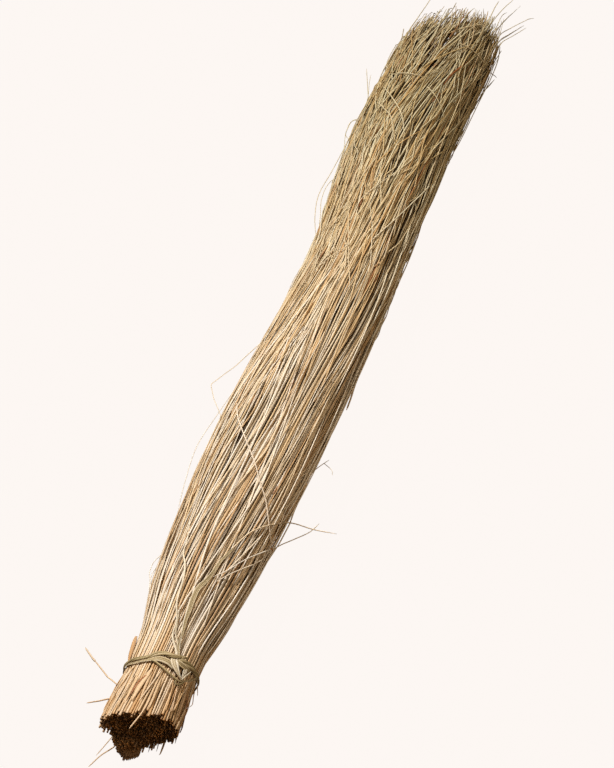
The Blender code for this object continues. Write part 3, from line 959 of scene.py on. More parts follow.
@dataclass(frozen=True)
class Tie:
    """The twisted straw tie: two wraps, the wide blade over the knot and two tails."""

    upper: tuple[Ribbon, ...] = (
        Ribbon((
            (0.0741, 54, 1.4, 1.0, 0), (0.0706, 62, 2.4, 3.0, 8), (0.0682, 72, 2.9, 4.2, 12),
            (0.0675, 80.5, 2.7, 4.0, 8), (0.066, 89.5, 2.4, 3.6, 0), (0.0635, 98, 2.2, 3.4, -8),
            (0.0598, 106.5, 2.0, 3.2, -4), (0.0583, 119, 1.8, 3.0, 6), (0.0582, 133, 1.6, 3.0, 4),
            (0.0574, 147, 1.4, 3.0, 0), (0.0585, 162, 1.2, 3.0, 0), (0.06, 185, 1.0, 2.8, 10),
            (0.0616, 205, 0.9, 2.8, 0), (0.064, 240, 0.9, 2.8, 0), (0.0675, 285, 0.9, 2.8, 0),
            (0.0705, 330, 1.0, 2.8, 0), (0.0716, 355, 1.0, 2.6, 0), (0.0711, 369, 1.4, 3.0, 8),
            (0.0704, 379, 1.8, 3.8, 8), (0.07, 390, 2.2, 4.6, 6), (0.0695, 401, 2.4, 5.0, 4),
            (0.0688, 412.5, 2.5, 4.4, 0), (0.0668, 421.5, 2.0, 2.4, 0),
        ), tone=0.36, thick_mm=0.7, camber=0.22, rings=150, strips=3, turns=4.0),
    )
    lower: tuple[Ribbon, ...] = (
        Ribbon((
            (0.0585, 60, 1.2, 2.0, 0), (0.0592, 64.5, 1.5, 4.6, -4), (0.0606, 69, 1.7, 5.6, -4),
            (0.0612, 77, 1.9, 5.8, -3), (0.0609, 87, 1.9, 5.4, 0), (0.0592, 95, 1.7, 4.4, 4),
            (0.0574, 103, 1.5, 3.0, 6), (0.0555, 113.5, 1.4, 2.2, 0), (0.054, 130, 1.3, 2.0, -6),
            (0.0545, 144, 1.2, 2.0, 0), (0.0555, 160, 1.0, 2.0, 5), (0.056, 185, 0.9, 2.2, 0),
            (0.0564, 205, 0.8, 2.2, 0), (0.058, 240, 0.8, 2.2, 0), (0.0612, 285, 0.8, 2.2, 0),
            (0.065, 330, 0.8, 2.2, 0), (0.069, 355, 0.9, 2.0, 0), (0.07, 367, 1.2, 1.8, 0),
            (0.0659, 376.6, 1.5, 1.7, 6), (0.0604, 386, 1.7, 1.6, 0), (0.0549, 396.4, 1.9, 1.5, 0),
            (0.0514, 405, 1.7, 1.0, 0),
        ), tone=0.58, thick_mm=0.5, camber=0.22, rings=150, strips=3),
        Ribbon((
            (0.0578, 106, 1.2, 0.9, 0), (0.0571, 94, 1.9, 1.7, 10), (0.0548, 83.5, 1.9, 1.8, 20),
            (0.0521, 71.2, 1.8, 1.8, 0), (0.0504, 60.5, 1.9, 1.8, -10), (0.0497, 51.8, 2.1, 1.7, 10),
            (0.0503, 44.8, 2.2, 1.3, 0), (0.0514, 41, 1.8, 0.8, 0),
        ), tone=0.34, thick_mm=0.9, camber=0.2, rings=44),
    )
    knot: tuple[Ribbon, ...] = (
        Ribbon((
            (0.0684, 69, 1.8, 3.0, 0), (0.0656, 67, 2.4, 6.4, -4), (0.0628, 64.5, 3.0, 7.6, -5),
            (0.0606, 62.3, 3.2, 7.2, -5), (0.0575, 57.7, 3.2, 5.4, -7), (0.0548, 52.1, 3.0, 3.4, -8),
            (0.053, 47.8, 2.8, 1.6, -4), (0.0518, 45, 2.4, 0.7, 0),
        ), tone=0.8, camber=0.16, rings=40, strips=3),
        Ribbon((
            (0.0674, 62, 2.7, 1.6, 0), (0.0658, 59.9, 3.1, 3.2, 10), (0.0646, 53.8, 3.4, 4.6, 12),
            (0.0644, 47, 3.3, 4.2, 8), (0.065, 40, 2.9, 2.8, 0), (0.0654, 33.5, 2.3, 1.0, 0),
        ), tone=0.5, camber=0.2, rings=36, strips=3),
        Ribbon((
            (0.0668, 45, 2.4, 1.0, 0), (0.065, 44.4, 2.9, 2.4, 5), (0.0616, 44.8, 3.0, 3.8, 8),
            (0.0573, 44.9, 2.9, 2.8, 5), (0.0536, 44.9, 2.5, 1.0, 0),
        ), tone=0.95, folds=1, rings=28),
        Ribbon((
            (0.0523, 44.5, 2.6, 0.8, 0), (0.0573, 41.3, 3.1, 1.3, 10), (0.0622, 37.4, 3.1, 1.3, 0),
            (0.0664, 33.6, 2.3, 0.8, 0),
        ), tone=0.85, camber=0.2, rings=28),
        Ribbon((
            (0.0503, 49.8, 1.6, 0.9, 0), (0.047, 52.5, 1.9, 1.4, 0), (0.0455, 50, 2.1, 1.6, 20),
            (0.0474, 44.5, 2.1, 1.5, 0), (0.0513, 39.9, 1.9, 1.3, 0), (0.0543, 37.1, 1.6, 0.9, 0),
        ), tone=0.2, camber=0.2, rings=30),
        Ribbon((
            (0.07, 58, 2.2, 1.0, 0), (0.0722, 55, 2.4, 2.2, 20), (0.0738, 51, 2.2, 2.2, 40),
            (0.0748, 46, 1.4, 0.8, 0),
        ), tone=0.5, rings=20),
    )
    tail_left: tuple[Ribbon, ...] = (
        Ribbon((
            (0.0678, 66, 1.8, 1.4, 0), (0.0705, 66, 2.7, 2.6, 0), (0.0747, 69.1, 2.3, 2.7, 10),
            (0.0793, 74.1, 2.0, 2.3, 20), (0.0834, 79.1, 1.8, 2.0, -10), (0.0873, 82.6, 1.7, 1.8, 15),
            (0.1034, 85.8, 1.6, 1.7, 20), (0.1186, 94.3, 1.6, 1.7, 10), (0.1299, 96.5, 1.6, 2.1, -10),
            (0.1385, 96.6, 1.6, 1.9, 30), (0.1486, 98.9, 1.6, 1.9, 0), (0.1589, 103, 1.6, 1.8, 10),
            (0.1693, 110.4, 1.5, 1.5, 0), (0.1878, 114.1, 1.3, 1.3, 20), (0.2074, 122.1, 0.8, 0.6, 0),
        ), tone=0.88, camber=0.2, rings=90),
        Ribbon((
            (0.07, 64, 2.2, 1.0, 0), (0.076, 67.5, 1.9, 1.6, 20), (0.084, 73, 1.7, 1.6, 10),
            (0.091, 79.5, 1.5, 1.3, 45), (0.099, 83, 1.4, 1.2, 0), (0.108, 86, 1.2, 0.8, 0),
            (0.118, 89, 0.8, 0.5, 0),
        ), tone=0.8, camber=0.14, rings=50),
    )
    tail_right: tuple[Ribbon, ...] = (
        Ribbon((
            (0.069, 62, 2.2, 1.4, 0), (0.0717, 63.8, 2.6, 2.8, 0), (0.0781, 68.2, 2.2, 3.0, 10),
            (0.0836, 70, 2.0, 2.6, 30), (0.0937, 70.5, 1.8, 2.6, 20), (0.1066, 73.7, 1.7, 3.2, 10),
            (0.1183, 74.7, 1.7, 4.2, 5), (0.1282, 75.9, 1.7, 4.8, 0), (0.1389, 75.1, 1.7, 4.8, 0),
            (0.1475, 70.8, 1.7, 4.2, 10), (0.1584, 66.8, 1.6, 3.6, 15), (0.1664, 65.5, 1.6, 3.2, 0),
            (0.1749, 63.5, 1.5, 2.8, -10), (0.182, 60.6, 1.5, 2.4, 0), (0.1892, 57.7, 1.3, 2.0, 0),
            (0.2029, 53.9, 0.8, 0.9, 0),
        ), tone=0.5, camber=0.2, rings=90, strips=4, uneven=0.22),
        Ribbon((
            (0.0705, 61, 1.8, 1.0, 0), (0.077, 65, 1.9, 1.4, 20), (0.085, 68, 1.8, 1.3, 50),
            (0.0937, 71.8, 1.9, 1.2, 0), (0.1066, 76, 1.9, 1.1, 0), (0.1183, 78.4, 1.9, 1.0, 0),
            (0.1282, 80, 1.4, 0.6, 0),
        ), tone=0.98, rings=50),
    )

    def build(self, finish: Finish) -> None:
        """Builds the tie's five pieces, each in place of its CAD node.

        Args:
            finish: the blades' material.
        """
        groups = {
            "tie_wrap_upper": (self.upper, "tie_band_upper"),
            "tie_wrap_lower": (self.lower, "tie_band_lower"),
            "tie_knot_blades": (self.knot, "tie_knot"),
            "tie_ribbon_left": (self.tail_left, "tie_tail_left"),
            "tie_ribbon_right": (self.tail_right, "tie_tail_right"),
        }
        for name, (ribbons, node) in groups.items():
            piece = Piece(name).add(*(ribbon.strands() for ribbon in ribbons))
            piece.made(finish, Slot.TIE, (node,))


@dataclass(frozen=True)
class Stray:
    """A loose stem on its own route: share, degrees and mm off at each knot."""

    knots: Table
    radius_mm: Pair = (0.62, 0.38)
    tone: float = 0.7
    bend: Bend = Bend.SMOOTH
    rings: int = 56
    # How much painted shade the stem gets, as for a stem lying deep in the bunch.
    deep: float = 0.0

    def strands(self, sides: int = 6) -> Strands:
        """The stem's skin, thinner to its far end.

        Args:
            sides: how many corners in each ring.

        Returns:
            The strand.
        """
        share, turn, off = walked(self.knots, self.rings, self.bend)[None].transpose(2, 0, 1)
        turn = np.radians(turn)
        path = FORM.spot(share, turn, off * MM)
        path[..., 2] = np.maximum(path[..., 2], 0.7 * MM)
        t = np.linspace(0, 1, self.rings)[None]
        radius = (self.radius_mm[0] + (self.radius_mm[1] - self.radius_mm[0]) * t) * MM
        radius = radius * (0.4 + 0.6 * np.clip(t / 0.03, 0, 1)) * (0.35 + 0.65 * np.clip((1 - t) / 0.08, 0, 1))
        section = round_section(radius, sides)
        return Strands.swept(path, FORM.outward(turn), section, [self.tone], share, self.deep, shade=0.15)


@dataclass(frozen=True)
class LooseStems:
    """The single stems that have come away from the bunch."""

    routes: tuple[tuple[str, tuple[Stray, ...]], ...] = (
        ("butt_left_long", (
            Stray((
                (0.033, 150, 1.3), (0.04, 162, 11.0), (0.047, 164, 21.0), (0.0515, 165, 27.5),
            ), (0.7, 0.55), 0.55, Bend.KINKED, 20),
            Stray((
                (0.0505, 165, 26.0), (0.053, 165.3, 30.0), (0.056, 165.6, 34.0), (0.06, 166, 39.0),
            ), (1.0, 0.7), 0.78, Bend.KINKED, 20),
        )),
        ("butt_left_short", (
            Stray(((0.022, 166, 1.3), (0.016, 166, 7.5), (0.009, 166, 16.0)), (0.75, 0.5), 0.5, Bend.KINKED),
        )),
        ("floor_long", (
            Stray((
                (0.018, 238, 1.7), (0.003, 235, 3.4), (-0.012, 226, 8.7), (-0.027, 221, 13.0),
            ), (0.7, 0.5), 0.55),
        )),
        ("floor_short", (
            Stray((
                (0.03, 230, 1.8), (0.01, 227, 5.5), (-0.001, 225, 8.3), (-0.014, 222, 10.7),
            ), (0.65, 0.4), 0.7),
        )),
        ("over_cut_face", (
            Stray((
                (0.024, 78, -2.0), (0.008, 79, 0.4), (-0.004, 82, 0.8), (-0.017, 87, 0.0),
            ), (0.75, 0.65), 0.86),
        )),
        ("kinked_left", (
            Stray((
                (0.46, 147, 1.3), (0.443, 151, 2.2), (0.412, 160, 10.6), (0.377, 160, 23.0), (0.362, 159, 14.0),
                (0.343, 151, 2.4), (0.328, 147, 1.3),
            ), (0.42, 0.36), 0.6, Bend.KINKED),
        )),
        ("long_crossing", (
            Stray((
                (0.352, 130, 1.5), (0.3328, 119.2, 2.0), (0.3058, 97.3, 2.3), (0.2824, 76.1, 2.4),
                (0.2663, 62.0, 2.4), (0.255, 48.6, 2.4), (0.2366, 29.5, 2.4), (0.2281, 16.2, 2.4),
                (0.2267, 0.7, 2.2),
            ), (0.62, 0.62), 0.86, rings=80),
        )),
        ("low_crossing", (
            Stray((
                (0.2275, -4, 1.9), (0.2255, 2.5, 2.4), (0.2, 29.1, 2.5), (0.1822, 43.1, 2.4),
                (0.1666, 53.7, 2.5), (0.1559, 64.2, 1.3),
            ), (0.6, 0.5), 0.84),
            Stray((
                (0.2275, -6, 1.8), (0.2255, 1.0, 2.2), (0.2013, 17.0, 2.3), (0.1822, 33.9, 2.4),
                (0.166, 48.1, 2.2), (0.1543, 57.0, 1.2),
            ), (0.6, 0.5), 0.7),
            Stray(((0.2262, -2, 2.4), (0.2262, 2.0, 2.8), (0.224, 7.0, 2.2)), (1.0, 0.9), 0.05, rings=12),
        )),
        ("belly_arc_left", (
            Stray((
                (0.4, 168, 1.3), (0.386, 168, 2.0), (0.354, 168, 5.4), (0.309, 168, 10.0), (0.271, 168, 7.0),
                (0.228, 162, 1.3),
            ), (0.38, 0.34), 0.8),
        )),
        ("twig_right", (
            Stray((
                (0.1903, 58, 1.2), (0.2159, 46.9, 2.1), (0.2307, 34.9, 2.3), (0.2504, 13.8, 2.4),
                (0.261, 1.0, 3.0), (0.267, -6, 8.0), (0.273, -12, 24.0), (0.28, -13, 46.5),
            ), (0.65, 0.45), 0.5),
        )),
        ("branch_right", (
            Stray((
                (0.236, -20, 1.3), (0.243, -18, 4.3), (0.259, -17, 15.0), (0.2735, -17, 24.0),
                (0.286, -16, 28.0),
            ), (0.5, 0.38), 0.6),
        )),
        ("curl_right", (
            Stray((
                (0.305, 18, 1.4), (0.313, 14, 1.8), (0.342, -13, 3.0), (0.357, -14, 9.3),
            ), (0.45, 0.35), 0.6),
            Stray((
                (0.35, -13, 6.4), (0.346, -10, 11.0), (0.338, -4, 17.0), (0.327, 2, 21.0),
            ), (0.3, 0.22), 0.6),
        )),
        ("bow_right", (
            Stray((
                (0.3156, 0.6, 1.3), (0.2957, -4, 2.0), (0.2827, -9, 2.4), (0.2653, -12.1, 4.2),
                (0.2461, -12.3, 4.2), (0.233, -12.4, 3.2), (0.2181, -8.9, 2.2), (0.1966, 1.0, 2.0),
                (0.17, 6.0, 2.0), (0.1435, 9.0, 2.0), (0.112, 8.0, 1.8), (0.093, 12.0, 1.2),
            ), (0.66, 0.6), 0.66, rings=90),
        )),
        ("neck_arc_left", (
            Stray((
                (0.775, 160, 1.3), (0.747, 163, 3.0), (0.711, 165, 6.6), (0.668, 166, 12.0), (0.644, 167, 9.0),
                (0.614, 163, 1.3),
            ), (0.4, 0.36), 0.6),
        )),
        ("twig_left", (
            Stray((
                (0.8, 158, 1.3), (0.818, 158, 2.0), (0.835, 157, 8.7), (0.844, 156, 13.0), (0.858, 156, 19.0),
            ), (0.45, 0.34), 0.6),
            Stray((
                (0.805, 157, 1.2), (0.824, 157, 4.0), (0.84, 156, 9.0), (0.851, 154, 12.0),
            ), (0.35, 0.26), 0.6),
        )),
        ("tip_left", (
            Stray((
                (0.895, 140, 1.3), (0.931, 140, 1.5), (0.96, 140, 1.0), (0.991, 140, 0.5), (1.006, 140, 0.5),
            ), (0.6, 0.4), 0.6),
        )),
        ("tip_high", (
            Stray(((0.955, 40, 1.3), (0.985, 36, 1.2), (1.008, 31, 2.0), (1.031, 25, 5.4)), (0.55, 0.34), 0.6),
        )),
        ("tip_right", (
            Stray((
                (0.955, 14, 1.3), (0.985, 12, 2.5), (0.998, 10, 9.2), (1.015, 10, 22.5), (1.022, 8, 28.0),
            ), (0.55, 0.34), 0.55),
        )),
        ("tip_crossing", (
            Stray((
                (0.912, 66, 1.6), (0.914, 52, 3.2), (0.917, 34, 3.4), (0.925, 6, 3.4), (0.939, -14, 10.0),
            ), (0.6, 0.45), 0.88),
        )),
        ("tip_bow_right", (
            Stray((
                (0.985, -11, 1.0), (0.965, -12, 4.2), (0.935, -13, 4.8), (0.9, -14, 4.0), (0.87, -14, 4.2),
                (0.84, -14, 4.4), (0.812, -15, 3.4), (0.79, -15, 1.3),
            ), (0.5, 0.42), 0.86),
        )),
    )
    more: tuple[Stray, ...] = (
        Stray(((0.922, 141, 1.0), (0.897, 154, 2.5), (0.874, 154, 3.0), (0.84, 155, 1.0)), (0.4, 0.34), 0.6),
        Stray((
            (0.9117, 150, 1.0), (0.9117, 154.6, 4.2), (0.8857, 155.4, 3.8), (0.8672, 155.2, 0.8),
        ), (0.4, 0.34), 0.6),
        Stray(((0.96, -7, 1.0), (0.99, -7, 2.0), (1.003, -6, 9.6), (1.022, -5, 20.0)), (0.5, 0.3), 0.5),
        Stray(((0.955, 45, 1.0), (0.9764, 43.6, 1.5), (0.9994, 43.3, 1.4), (1.012, 42, 1.6)), (0.7, 0.4), 0.6),
        Stray(((0.955, 28, 1.0), (0.9751, 27, 1.5), (1.003, 26, 1.4), (1.012, 22, 2.6)), (0.6, 0.3), 0.6),
        Stray(((0.795, 125, 1.3), (0.782, 112, 3.2), (0.768, 98, 3.2), (0.748, 89.5, 1.2)), (0.6, 0.55), 0.86),
        Stray(((0.822, 128, 1.2), (0.8, 108, 3.2), (0.775, 88, 3.2), (0.753, 77.5, 1.0)), (0.6, 0.55), 0.86),
        Stray(((0.829, 75, 1.2), (0.821, 61, 3.2), (0.813, 47, 3.2), (0.805, 33, 1.2)), (0.6, 0.55), 0.86),
        Stray(((0.841, 124, 1.0), (0.839, 112, 3.2), (0.839, 97, 3.2), (0.841, 85, 1.0)), (0.6, 0.5), 0.86),
        Stray(((0.872, -3, 1.2), (0.84, 8, 3.4), (0.808, 19, 3.2), (0.749, 38, 1.2)), (0.6, 0.55), 0.86),
        Stray(((0.725, 15, 1.2), (0.692, 30, 2.8), (0.658, 44, 2.8), (0.599, 69, 1.2)), (0.6, 0.55), 0.84),
        Stray(((0.48, -6, 1.0), (0.457, -17, 1.5), (0.44, -17, 3.0), (0.423, -16, 4.0)), (0.9, 0.8), 0.4),
        Stray((
            (0.2064, 19.4, 0.8), (0.1759, 22.5, 2.4), (0.153, 25, 2.4), (0.1173, 29.6, 2.2), (0.0861, 32, 1.0),
        ), (0.7, 0.62), 0.84),
        Stray((
            (0.22, 10, 0.8), (0.19, 12, 2.2), (0.1691, 14.0, 2.2), (0.1285, 17.6, 2.0), (0.09, 21, 1.0),
        ), (0.6, 0.55), 0.8),
        Stray((
            (0.27, 14, 0.8), (0.23, 10, 2.2), (0.2072, 7.5, 2.0), (0.1646, 2.2, 2.0), (0.11, -6, 1.0),
        ), (0.55, 0.5), 0.78),
        Stray((
            (0.179, 160, 0.8), (0.1703, 164.5, 4.8), (0.1592, 165.2, 5.4), (0.1511, 165.5, 2.6),
            (0.1345, 158, 1.0),
        ), (0.36, 0.32), 0.8),
        Stray((
            (0.166, 160, 0.8), (0.1576, 164.9, 2.8), (0.1417, 156.0, 1.6), (0.126, 148, 0.8),
        ), (0.36, 0.32), 0.8),
        Stray((
            (0.7547, 158, 1.0), (0.76, 161.2, 6.8), (0.7718, 160.1, 8.0), (0.7835, 159.3, 6.4),
            (0.788, 157, 1.0),
        ), (0.32, 0.28), 0.7),
        Stray((
            (0.7854, 156, 1.0), (0.78, 159.2, 7.6), (0.7668, 160.5, 8.2), (0.7476, 161.6, 4.4),
            (0.7308, 158, 1.0),
        ), (0.32, 0.28), 0.6),
        Stray((
            (0.7, 163, 1.0), (0.694, 165.6, 5.2), (0.6711, 166.4, 8.0), (0.6419, 166.6, 3.2), (0.625, 163, 1.0),
        ), (0.34, 0.3), 0.6),
        Stray(((0.076, -10, 0.8), (0.07, -13, 1.4), (0.064, -13.8, 3.6), (0.061, -13, 4.4)), (0.5, 0.25), 0.9),
        Stray((
            (0.064, -12, 0.6), (0.058, -13.4, 1.6), (0.051, -13.4, 3.0), (0.047, -13.4, 1.4),
        ), (0.45, 0.3), 0.9),
    )
    lone: tuple[tuple[float, float, float, float], ...] = (
        (0.3, 0.1, -8, 6), (0.42, 0.16, -4, 3), (0.52, 0.24, 2, 8), (0.48, 0.3, 16, 10), (0.62, 0.36, -6, -2),
        (0.7, 0.44, 6, 4), (0.66, 0.5, 22, 18), (0.78, 0.58, 0, 6), (0.86, 0.66, 14, 8), (0.9, 0.74, 2, 8),
        (0.38, 0.2, 26, 22), (0.58, 0.4, 30, 26), (0.975, 0.8, 2, 10), (0.94, 0.78, 0, 4),
        (0.965, 0.84, 18, 26), (0.93, 0.72, 34, 22), (0.975, 0.86, 8, 2), (0.95, 0.83, 4, 0),
        (0.97, 0.88, 12, 18), (0.955, 0.85, 26, 14), (0.9, 0.8, 20, 10), (0.76, 0.62, 10, 16),
    )

    def build(self, finish: Finish) -> None:
        """Builds a piece in place of each loose stem's node, and one for the strays that have none.

        Args:
            finish: the straw's material.
        """
        for name, strays in self.routes:
            piece = Piece(f"stray_{name}").add(*(stray.strands() for stray in strays))
            piece.made(finish, Slot.LOOSE, (f"loose_stem_{name}",))
        piece = Piece("stray_crossings").add(*(stray.strands() for stray in self.more))
        t = np.linspace(0, 1, 9)
        off = 0.9 + 2.2 * np.sin(math.pi * t)
        for high, low, first, last in self.lone:
            knots = zip(high + (low - high) * t, first + (last - first) * t, off)
            piece.add(Stray(tuple(knots), (0.62, 0.58), 0.64 + 0.26 * high).strands())
        piece.made(finish, Slot.LOOSE)


@dataclass
class SheathBlades:
    """Flat torn sheaths that lie along the stems, mostly near the butts.

    The strewn ones are rows of how many, where they begin, and the ranges of their length and width in mm
    and of their shade.
    """

    finish: Finish
    seed: int
    torn: tuple[tuple[int, Pair, Pair, Pair, Pair], ...] = (
        (24, (0.085, 0.28), (50, 130), (1.3, 2.4), (0.3, 0.8)),
        (14, (0.004, 0.018), (26, 40), (1.8, 3.4), (0.4, 0.9)),
        (10, (0.30, 0.85), (40, 110), (1.4, 2.4), (0.3, 0.9)),
    )
    bits: tuple[tuple[int, Pair, Pair, Pair, Pair], ...] = (
        (60, (0.3, 0.94), (6, 22), (0.9, 1.9), (0.0, 0.06)),
        (30, (0.09, 0.4), (4, 14), (0.7, 1.5), (0.0, 0.2)),
    )
    named: tuple[Ribbon, ...] = (
        Ribbon((
            (0.05, 93, 0.9, 1.6, 0), (0.043, 95, 1.3, 3.8, 5), (0.034, 98, 1.4, 4.6, 5),
            (0.0221, 100, 1.3, 3.8, 0), (0.012, 101, 0.7, 1.6, 0),
        ), 0.55),
        Ribbon((
            (0.044, 93, 1.2, 0.8, 0), (0.04, 97.5, 1.6, 1.8, 20), (0.035, 102, 1.7, 2.2, 25),
            (0.028, 105, 1.5, 2.0, 15), (0.0178, 107, 0.8, 0.8, 0),
        ), 0.02),
        Ribbon((
            (0.058, 150, 0.4, 1.5, 0), (0.066, 154, 1.1, 3.4, 30), (0.076, 157, 1.7, 4.2, 40),
            (0.086, 159, 2.2, 3.8, 45), (0.0895, 159, 2.3, 2.4, 45),
        ), 0.13),
        Ribbon((
            (0.9054, 41.1, 0.8, 0.8, 0), (0.8806, 50.3, 2.6, 2.0, 10), (0.8613, 56.1, 2.6, 1.8, 0),
            (0.846, 58, 1.0, 0.7, 0),
        ), 0.0),
        Ribbon((
            (0.048, 14, 0.6, 1.0, 0), (0.04, 9, 1.3, 3.0, -10), (0.03, 4, 1.6, 4.2, -20),
            (0.02, 1, 1.6, 4.4, -25), (0.015, 0, 1.0, 2.6, -25),
        ), 0.03),
    )
    films: tuple[Ribbon, ...] = (
        Ribbon((
            (0.96, 24, 0.6, 1.0, 0), (0.985, 23, 2.0, 2.6, 20), (1.004, 21, 6.0, 3.4, 40),
            (1.02, 19, 10.5, 2.4, 50), (1.028, 18, 12.5, 0.8, 50),
        ), 0.84),
        Ribbon((
            (0.955, 10, 0.8, 1.0, 0), (0.978, 8, 3.0, 2.4, 10), (0.99, 7, 9.0, 3.0, 20),
            (1.002, 7, 16.0, 2.2, 30), (1.01, 6, 20.0, 0.6, 30),
        ), 0.8),
        Ribbon((
            (0.895, -12, 0.6, 1.0, 0), (0.908, -14, 2.6, 2.2, 20), (0.922, -15, 5.6, 2.6, 40),
            (0.936, -15, 8.5, 0.8, 40),
        ), 0.84),
    )

    def __post_init__(self) -> None:
        """Starts the generator of the scatter."""
        self.rng = np.random.default_rng(self.seed)

    def strewn(
        self,
        count: int,
        start: Pair,
        length_mm: Pair,
        width_mm: Pair,
        tone: Pair,
        rings: int = 26,
    ) -> Strands:
        """Blades along the bunch's flow, with pointed ends.

        Args:
            count: how many.
            start: where they begin.
            length_mm: how long they are.
            width_mm: how wide.
            tone: the range of their shades.
            rings: how many rings along each.

        Returns:
            The strands.
        """
        rng = self.rng
        t = np.linspace(0, 1, rings)[None]

        def col(low: float, high: float) -> Array:
            """One number for each blade."""
            return rng.uniform(low, high, (count, 1))

        length = col(*length_mm) * MM
        share = col(*start) + length / FORM.length * t
        turn = FORM.drifted(col(0, 2 * math.pi), share)
        turn = turn + np.radians(rng.normal(0, 3.5, (count, 1))) * (t - 0.5) * length / 0.04
        off = col(0.3, 1.1) - 1.5 * (1 - np.sin(math.pi * t) ** 0.4)
        path = FORM.spot(share, turn, off * MM)
        path[..., 2] = np.maximum(path[..., 2], 0.9 * MM)
        width = col(*width_mm) * MM * np.sin(math.pi * (0.04 + 0.92 * t)) ** 0.6
        roll = rng.normal(0, 0.25, (count, 1)) + rng.normal(0, 0.4, (count, 1)) * t
        section = blade_section(width, 0.3 * MM, 0.10, points=3 if rings < 20 else 5)
        return Strands.swept(path, FORM.outward(turn), section, col(*tone)[:, 0], share, roll=roll, shade=0.5)

    def build(self) -> None:
        """Builds the named sheaths, the strewn ones and the small brown bits."""
        piece = Piece("sheath_blades").add(*(ribbon.strands() for ribbon in self.named))
        piece.add(*(self.strewn(*row) for row in self.torn)).made(self.finish, Slot.LOOSE)
        piece = Piece("frayed_films").add(*(ribbon.strands() for ribbon in self.films))
        piece.made(FilmFinish().material(), Slot.LOOSE)
        piece = Piece("brown_bits").add(*(self.strewn(*row, rings=10) for row in self.bits))
        piece.made(self.finish, Slot.LOOSE)


@dataclass(frozen=True)
class ButtFringe:
    """The brown shreds that hang from the lower rim of the cut face, darkened with painted shade."""

    teeth: Table = ((281, 0.005, 0.9), (293, 0.0078, 1.1), (336, 0.0105, 0.9))
    fan: Point = (253.0, 16.0, 0.0072)

    def build(self, finish: Finish) -> None:
        """Builds the shreds as one piece: the hanging ones, and a fan of blunt stems at the rim's low point.

        Args:
            finish: the straw's material.
        """
        rng = np.random.default_rng(41)
        rows = [(degrees, reach, 0.25, radius) for degrees, reach, radius in self.teeth]
        middle, spread, deepest = self.fan
        for row in range(3):
            for degrees in np.linspace(middle - spread, middle + spread, 19):
                fall = deepest * (1 - abs(degrees - middle) / spread) ** 0.8 * rng.uniform(0.75, 1.15)
                rows.append((degrees + rng.uniform(-0.6, 0.6), -0.0030 - fall + 0.0012 * row, 0.85, 1.05))
        piece = Piece("butt_shreds")
        for count, (degrees, reach, end, radius) in enumerate(rows):
            edge, under = float(along(FORM.cut, degrees % 360)), -0.3 - 2.0 * max(0, (count - 3) // 19)
            tucked, rim = (edge + 0.02, degrees, under - 0.5), (edge, degrees, under)
            hanging = ((edge + reach) / 2, degrees + 1, under), (reach, degrees + 1, under)
            tone = 0.05 + 0.25 * rng.random()
            # deep=1.6 puts the shreds in full painted shade.
            piece.add(Stray((tucked, rim, *hanging), (radius, end), tone, rings=16, deep=1.6).strands(5))
        piece.made(finish, Slot.INNER)


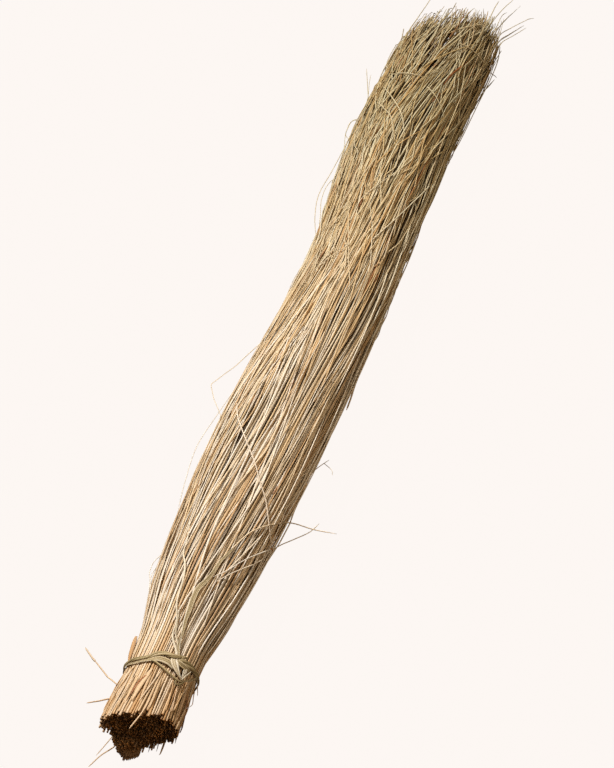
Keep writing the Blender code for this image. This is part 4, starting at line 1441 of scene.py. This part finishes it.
@dataclass(frozen=True)
class Studio:
    """A pale floor, soft light from the upper left and behind, and the photograph's camera."""

    azimuth: float = math.radians(19.4)
    elevation: float = math.radians(49.6)
    distance: float = 2.4
    lens: float = 117.5
    target: Point = (-0.0082, -0.0449, 0.016)
    lights: tuple[tuple[str, Point, float, float, str], ...] = (
        ("key_light", (-0.42, 0.28, 0.82), 3.25, 2.5, "#FFFEFC"),
        ("soft_light", (-0.55, 0.20, 0.80), 1.2, 80.0, "#FFFAF0"),
        ("fill_light", (0.72, -0.10, 0.68), 0.70, 50.0, "#FFE8CA"),
    )
    pale: str = "#FEF8F4"
    glow: float = 0.985
    room: Stops = ((0.35, "#3E2C16"), (0.75, "#FFE2BA"))
    room_light: float = 0.22
    floor_reach: float = 6.0
    floor_drop: float = 0.0006

    def camera(self) -> None:
        """Stands the camera where the photograph was taken from."""
        flat = math.cos(self.elevation)
        back = Vector((math.sin(self.azimuth) * flat, -math.cos(self.azimuth) * flat, math.sin(self.elevation)))
        data = bpy.data.cameras.new("camera")
        data.lens = self.lens
        data.sensor_width = 36
        data.clip_end = 30
        camera = bpy.data.objects.new("camera", data)
        camera.location = Vector(self.target) + back * self.distance
        camera.rotation_euler = (-back).to_track_quat("-Z", "Y").to_euler()
        bpy.context.scene.collection.objects.link(camera)
        bpy.context.scene.camera = camera

    def light(self, name: str, toward: Point, strength: float, spread: float, colour: str) -> None:
        """A far, soft light.

        Args:
            name: its name.
            toward: the way from the bunch to the light.
            strength: its strength.
            spread: its width in degrees, seen from the bunch.
            colour: its colour.
        """
        data = bpy.data.lights.new(name, "SUN")
        data.energy = strength
        data.angle = math.radians(spread)
        data.color = linear(colour)[:3]
        lamp = bpy.data.objects.new(name, data)
        lamp.rotation_euler = Vector(toward).to_track_quat("Z", "Y").to_euler()
        bpy.context.scene.collection.objects.link(lamp)

    def floor(self) -> None:
        """A wide plain sheet of pale board."""
        mesh = bpy.data.meshes.new("floor")
        wide, low = self.floor_reach, -self.floor_drop
        corners = [(-wide, -wide, low), (wide, -wide, low), (wide, wide, low), (-wide, wide, low)]
        mesh.from_pydata(corners, [], [(0, 1, 2, 3)])
        made = bpy.data.materials.new("pale_board")
        made.use_nodes = True
        shader = made.node_tree.nodes["Principled BSDF"]
        shader.inputs["Base Color"].default_value = linear("#0A0A0A")
        shader.inputs["Roughness"].default_value = 1.0
        shader.inputs["Specular IOR Level"].default_value = 0.0
        shader.inputs["Emission Color"].default_value = linear(self.pale)
        shader.inputs["Emission Strength"].default_value = self.glow
        mesh.materials.append(made)
        thing = bpy.data.objects.new("floor", mesh)
        thing.visible_diffuse = False
        thing.visible_glossy = False
        bpy.context.scene.collection.objects.link(thing)

    def build(self) -> None:
        """Sets the whole studio up."""
        scene = bpy.context.scene
        scene.view_settings.view_transform = "Standard"
        self.camera()
        self.floor()
        for row in self.lights:
            self.light(*row)
        world = bpy.data.worlds.new("studio")
        world.use_nodes = True
        tree = world.node_tree
        up = add(tree, "SeparateXYZ", {"Vector": add(tree, "TexCoord").outputs["Generated"]}).outputs["Z"]
        high = add(tree, "MapRange", {"Value": up, "From Min": -1.0}).outputs[0]
        lit = tree.nodes["Background"]
        tree.links.new(ramp(tree, high, self.room), lit.inputs["Color"])
        lit.inputs["Strength"].default_value = self.room_light
        wall = add(tree, "Background", {"Color": linear(self.pale), "Strength": self.glow}).outputs[0]
        seen = add(tree, "LightPath").outputs["Is Camera Ray"]
        both = add(tree, "MixShader", {0: seen, 1: lit.outputs[0], 2: wall}).outputs[0]
        tree.links.new(both, tree.nodes["World Output"].inputs["Surface"])
        scene.world = world


def main() -> None:
    """Builds the bunch's looks in order."""
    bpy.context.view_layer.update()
    straw = StrawFinish().material()
    blade = BladeFinish().material()
    Locks(StemField(StemSizes(), seed=5), straw).build()
    StrewnStems(straw, seed=21).build()
    SheathBlades(straw, seed=31).build()
    ButtFringe().build(straw)
    Tie().build(blade)
    LooseStems().build(straw)
    Studio().build()


if __name__ == "__main__":
    logging.basicConfig(level=logging.INFO, format="%(message)s")
    main()
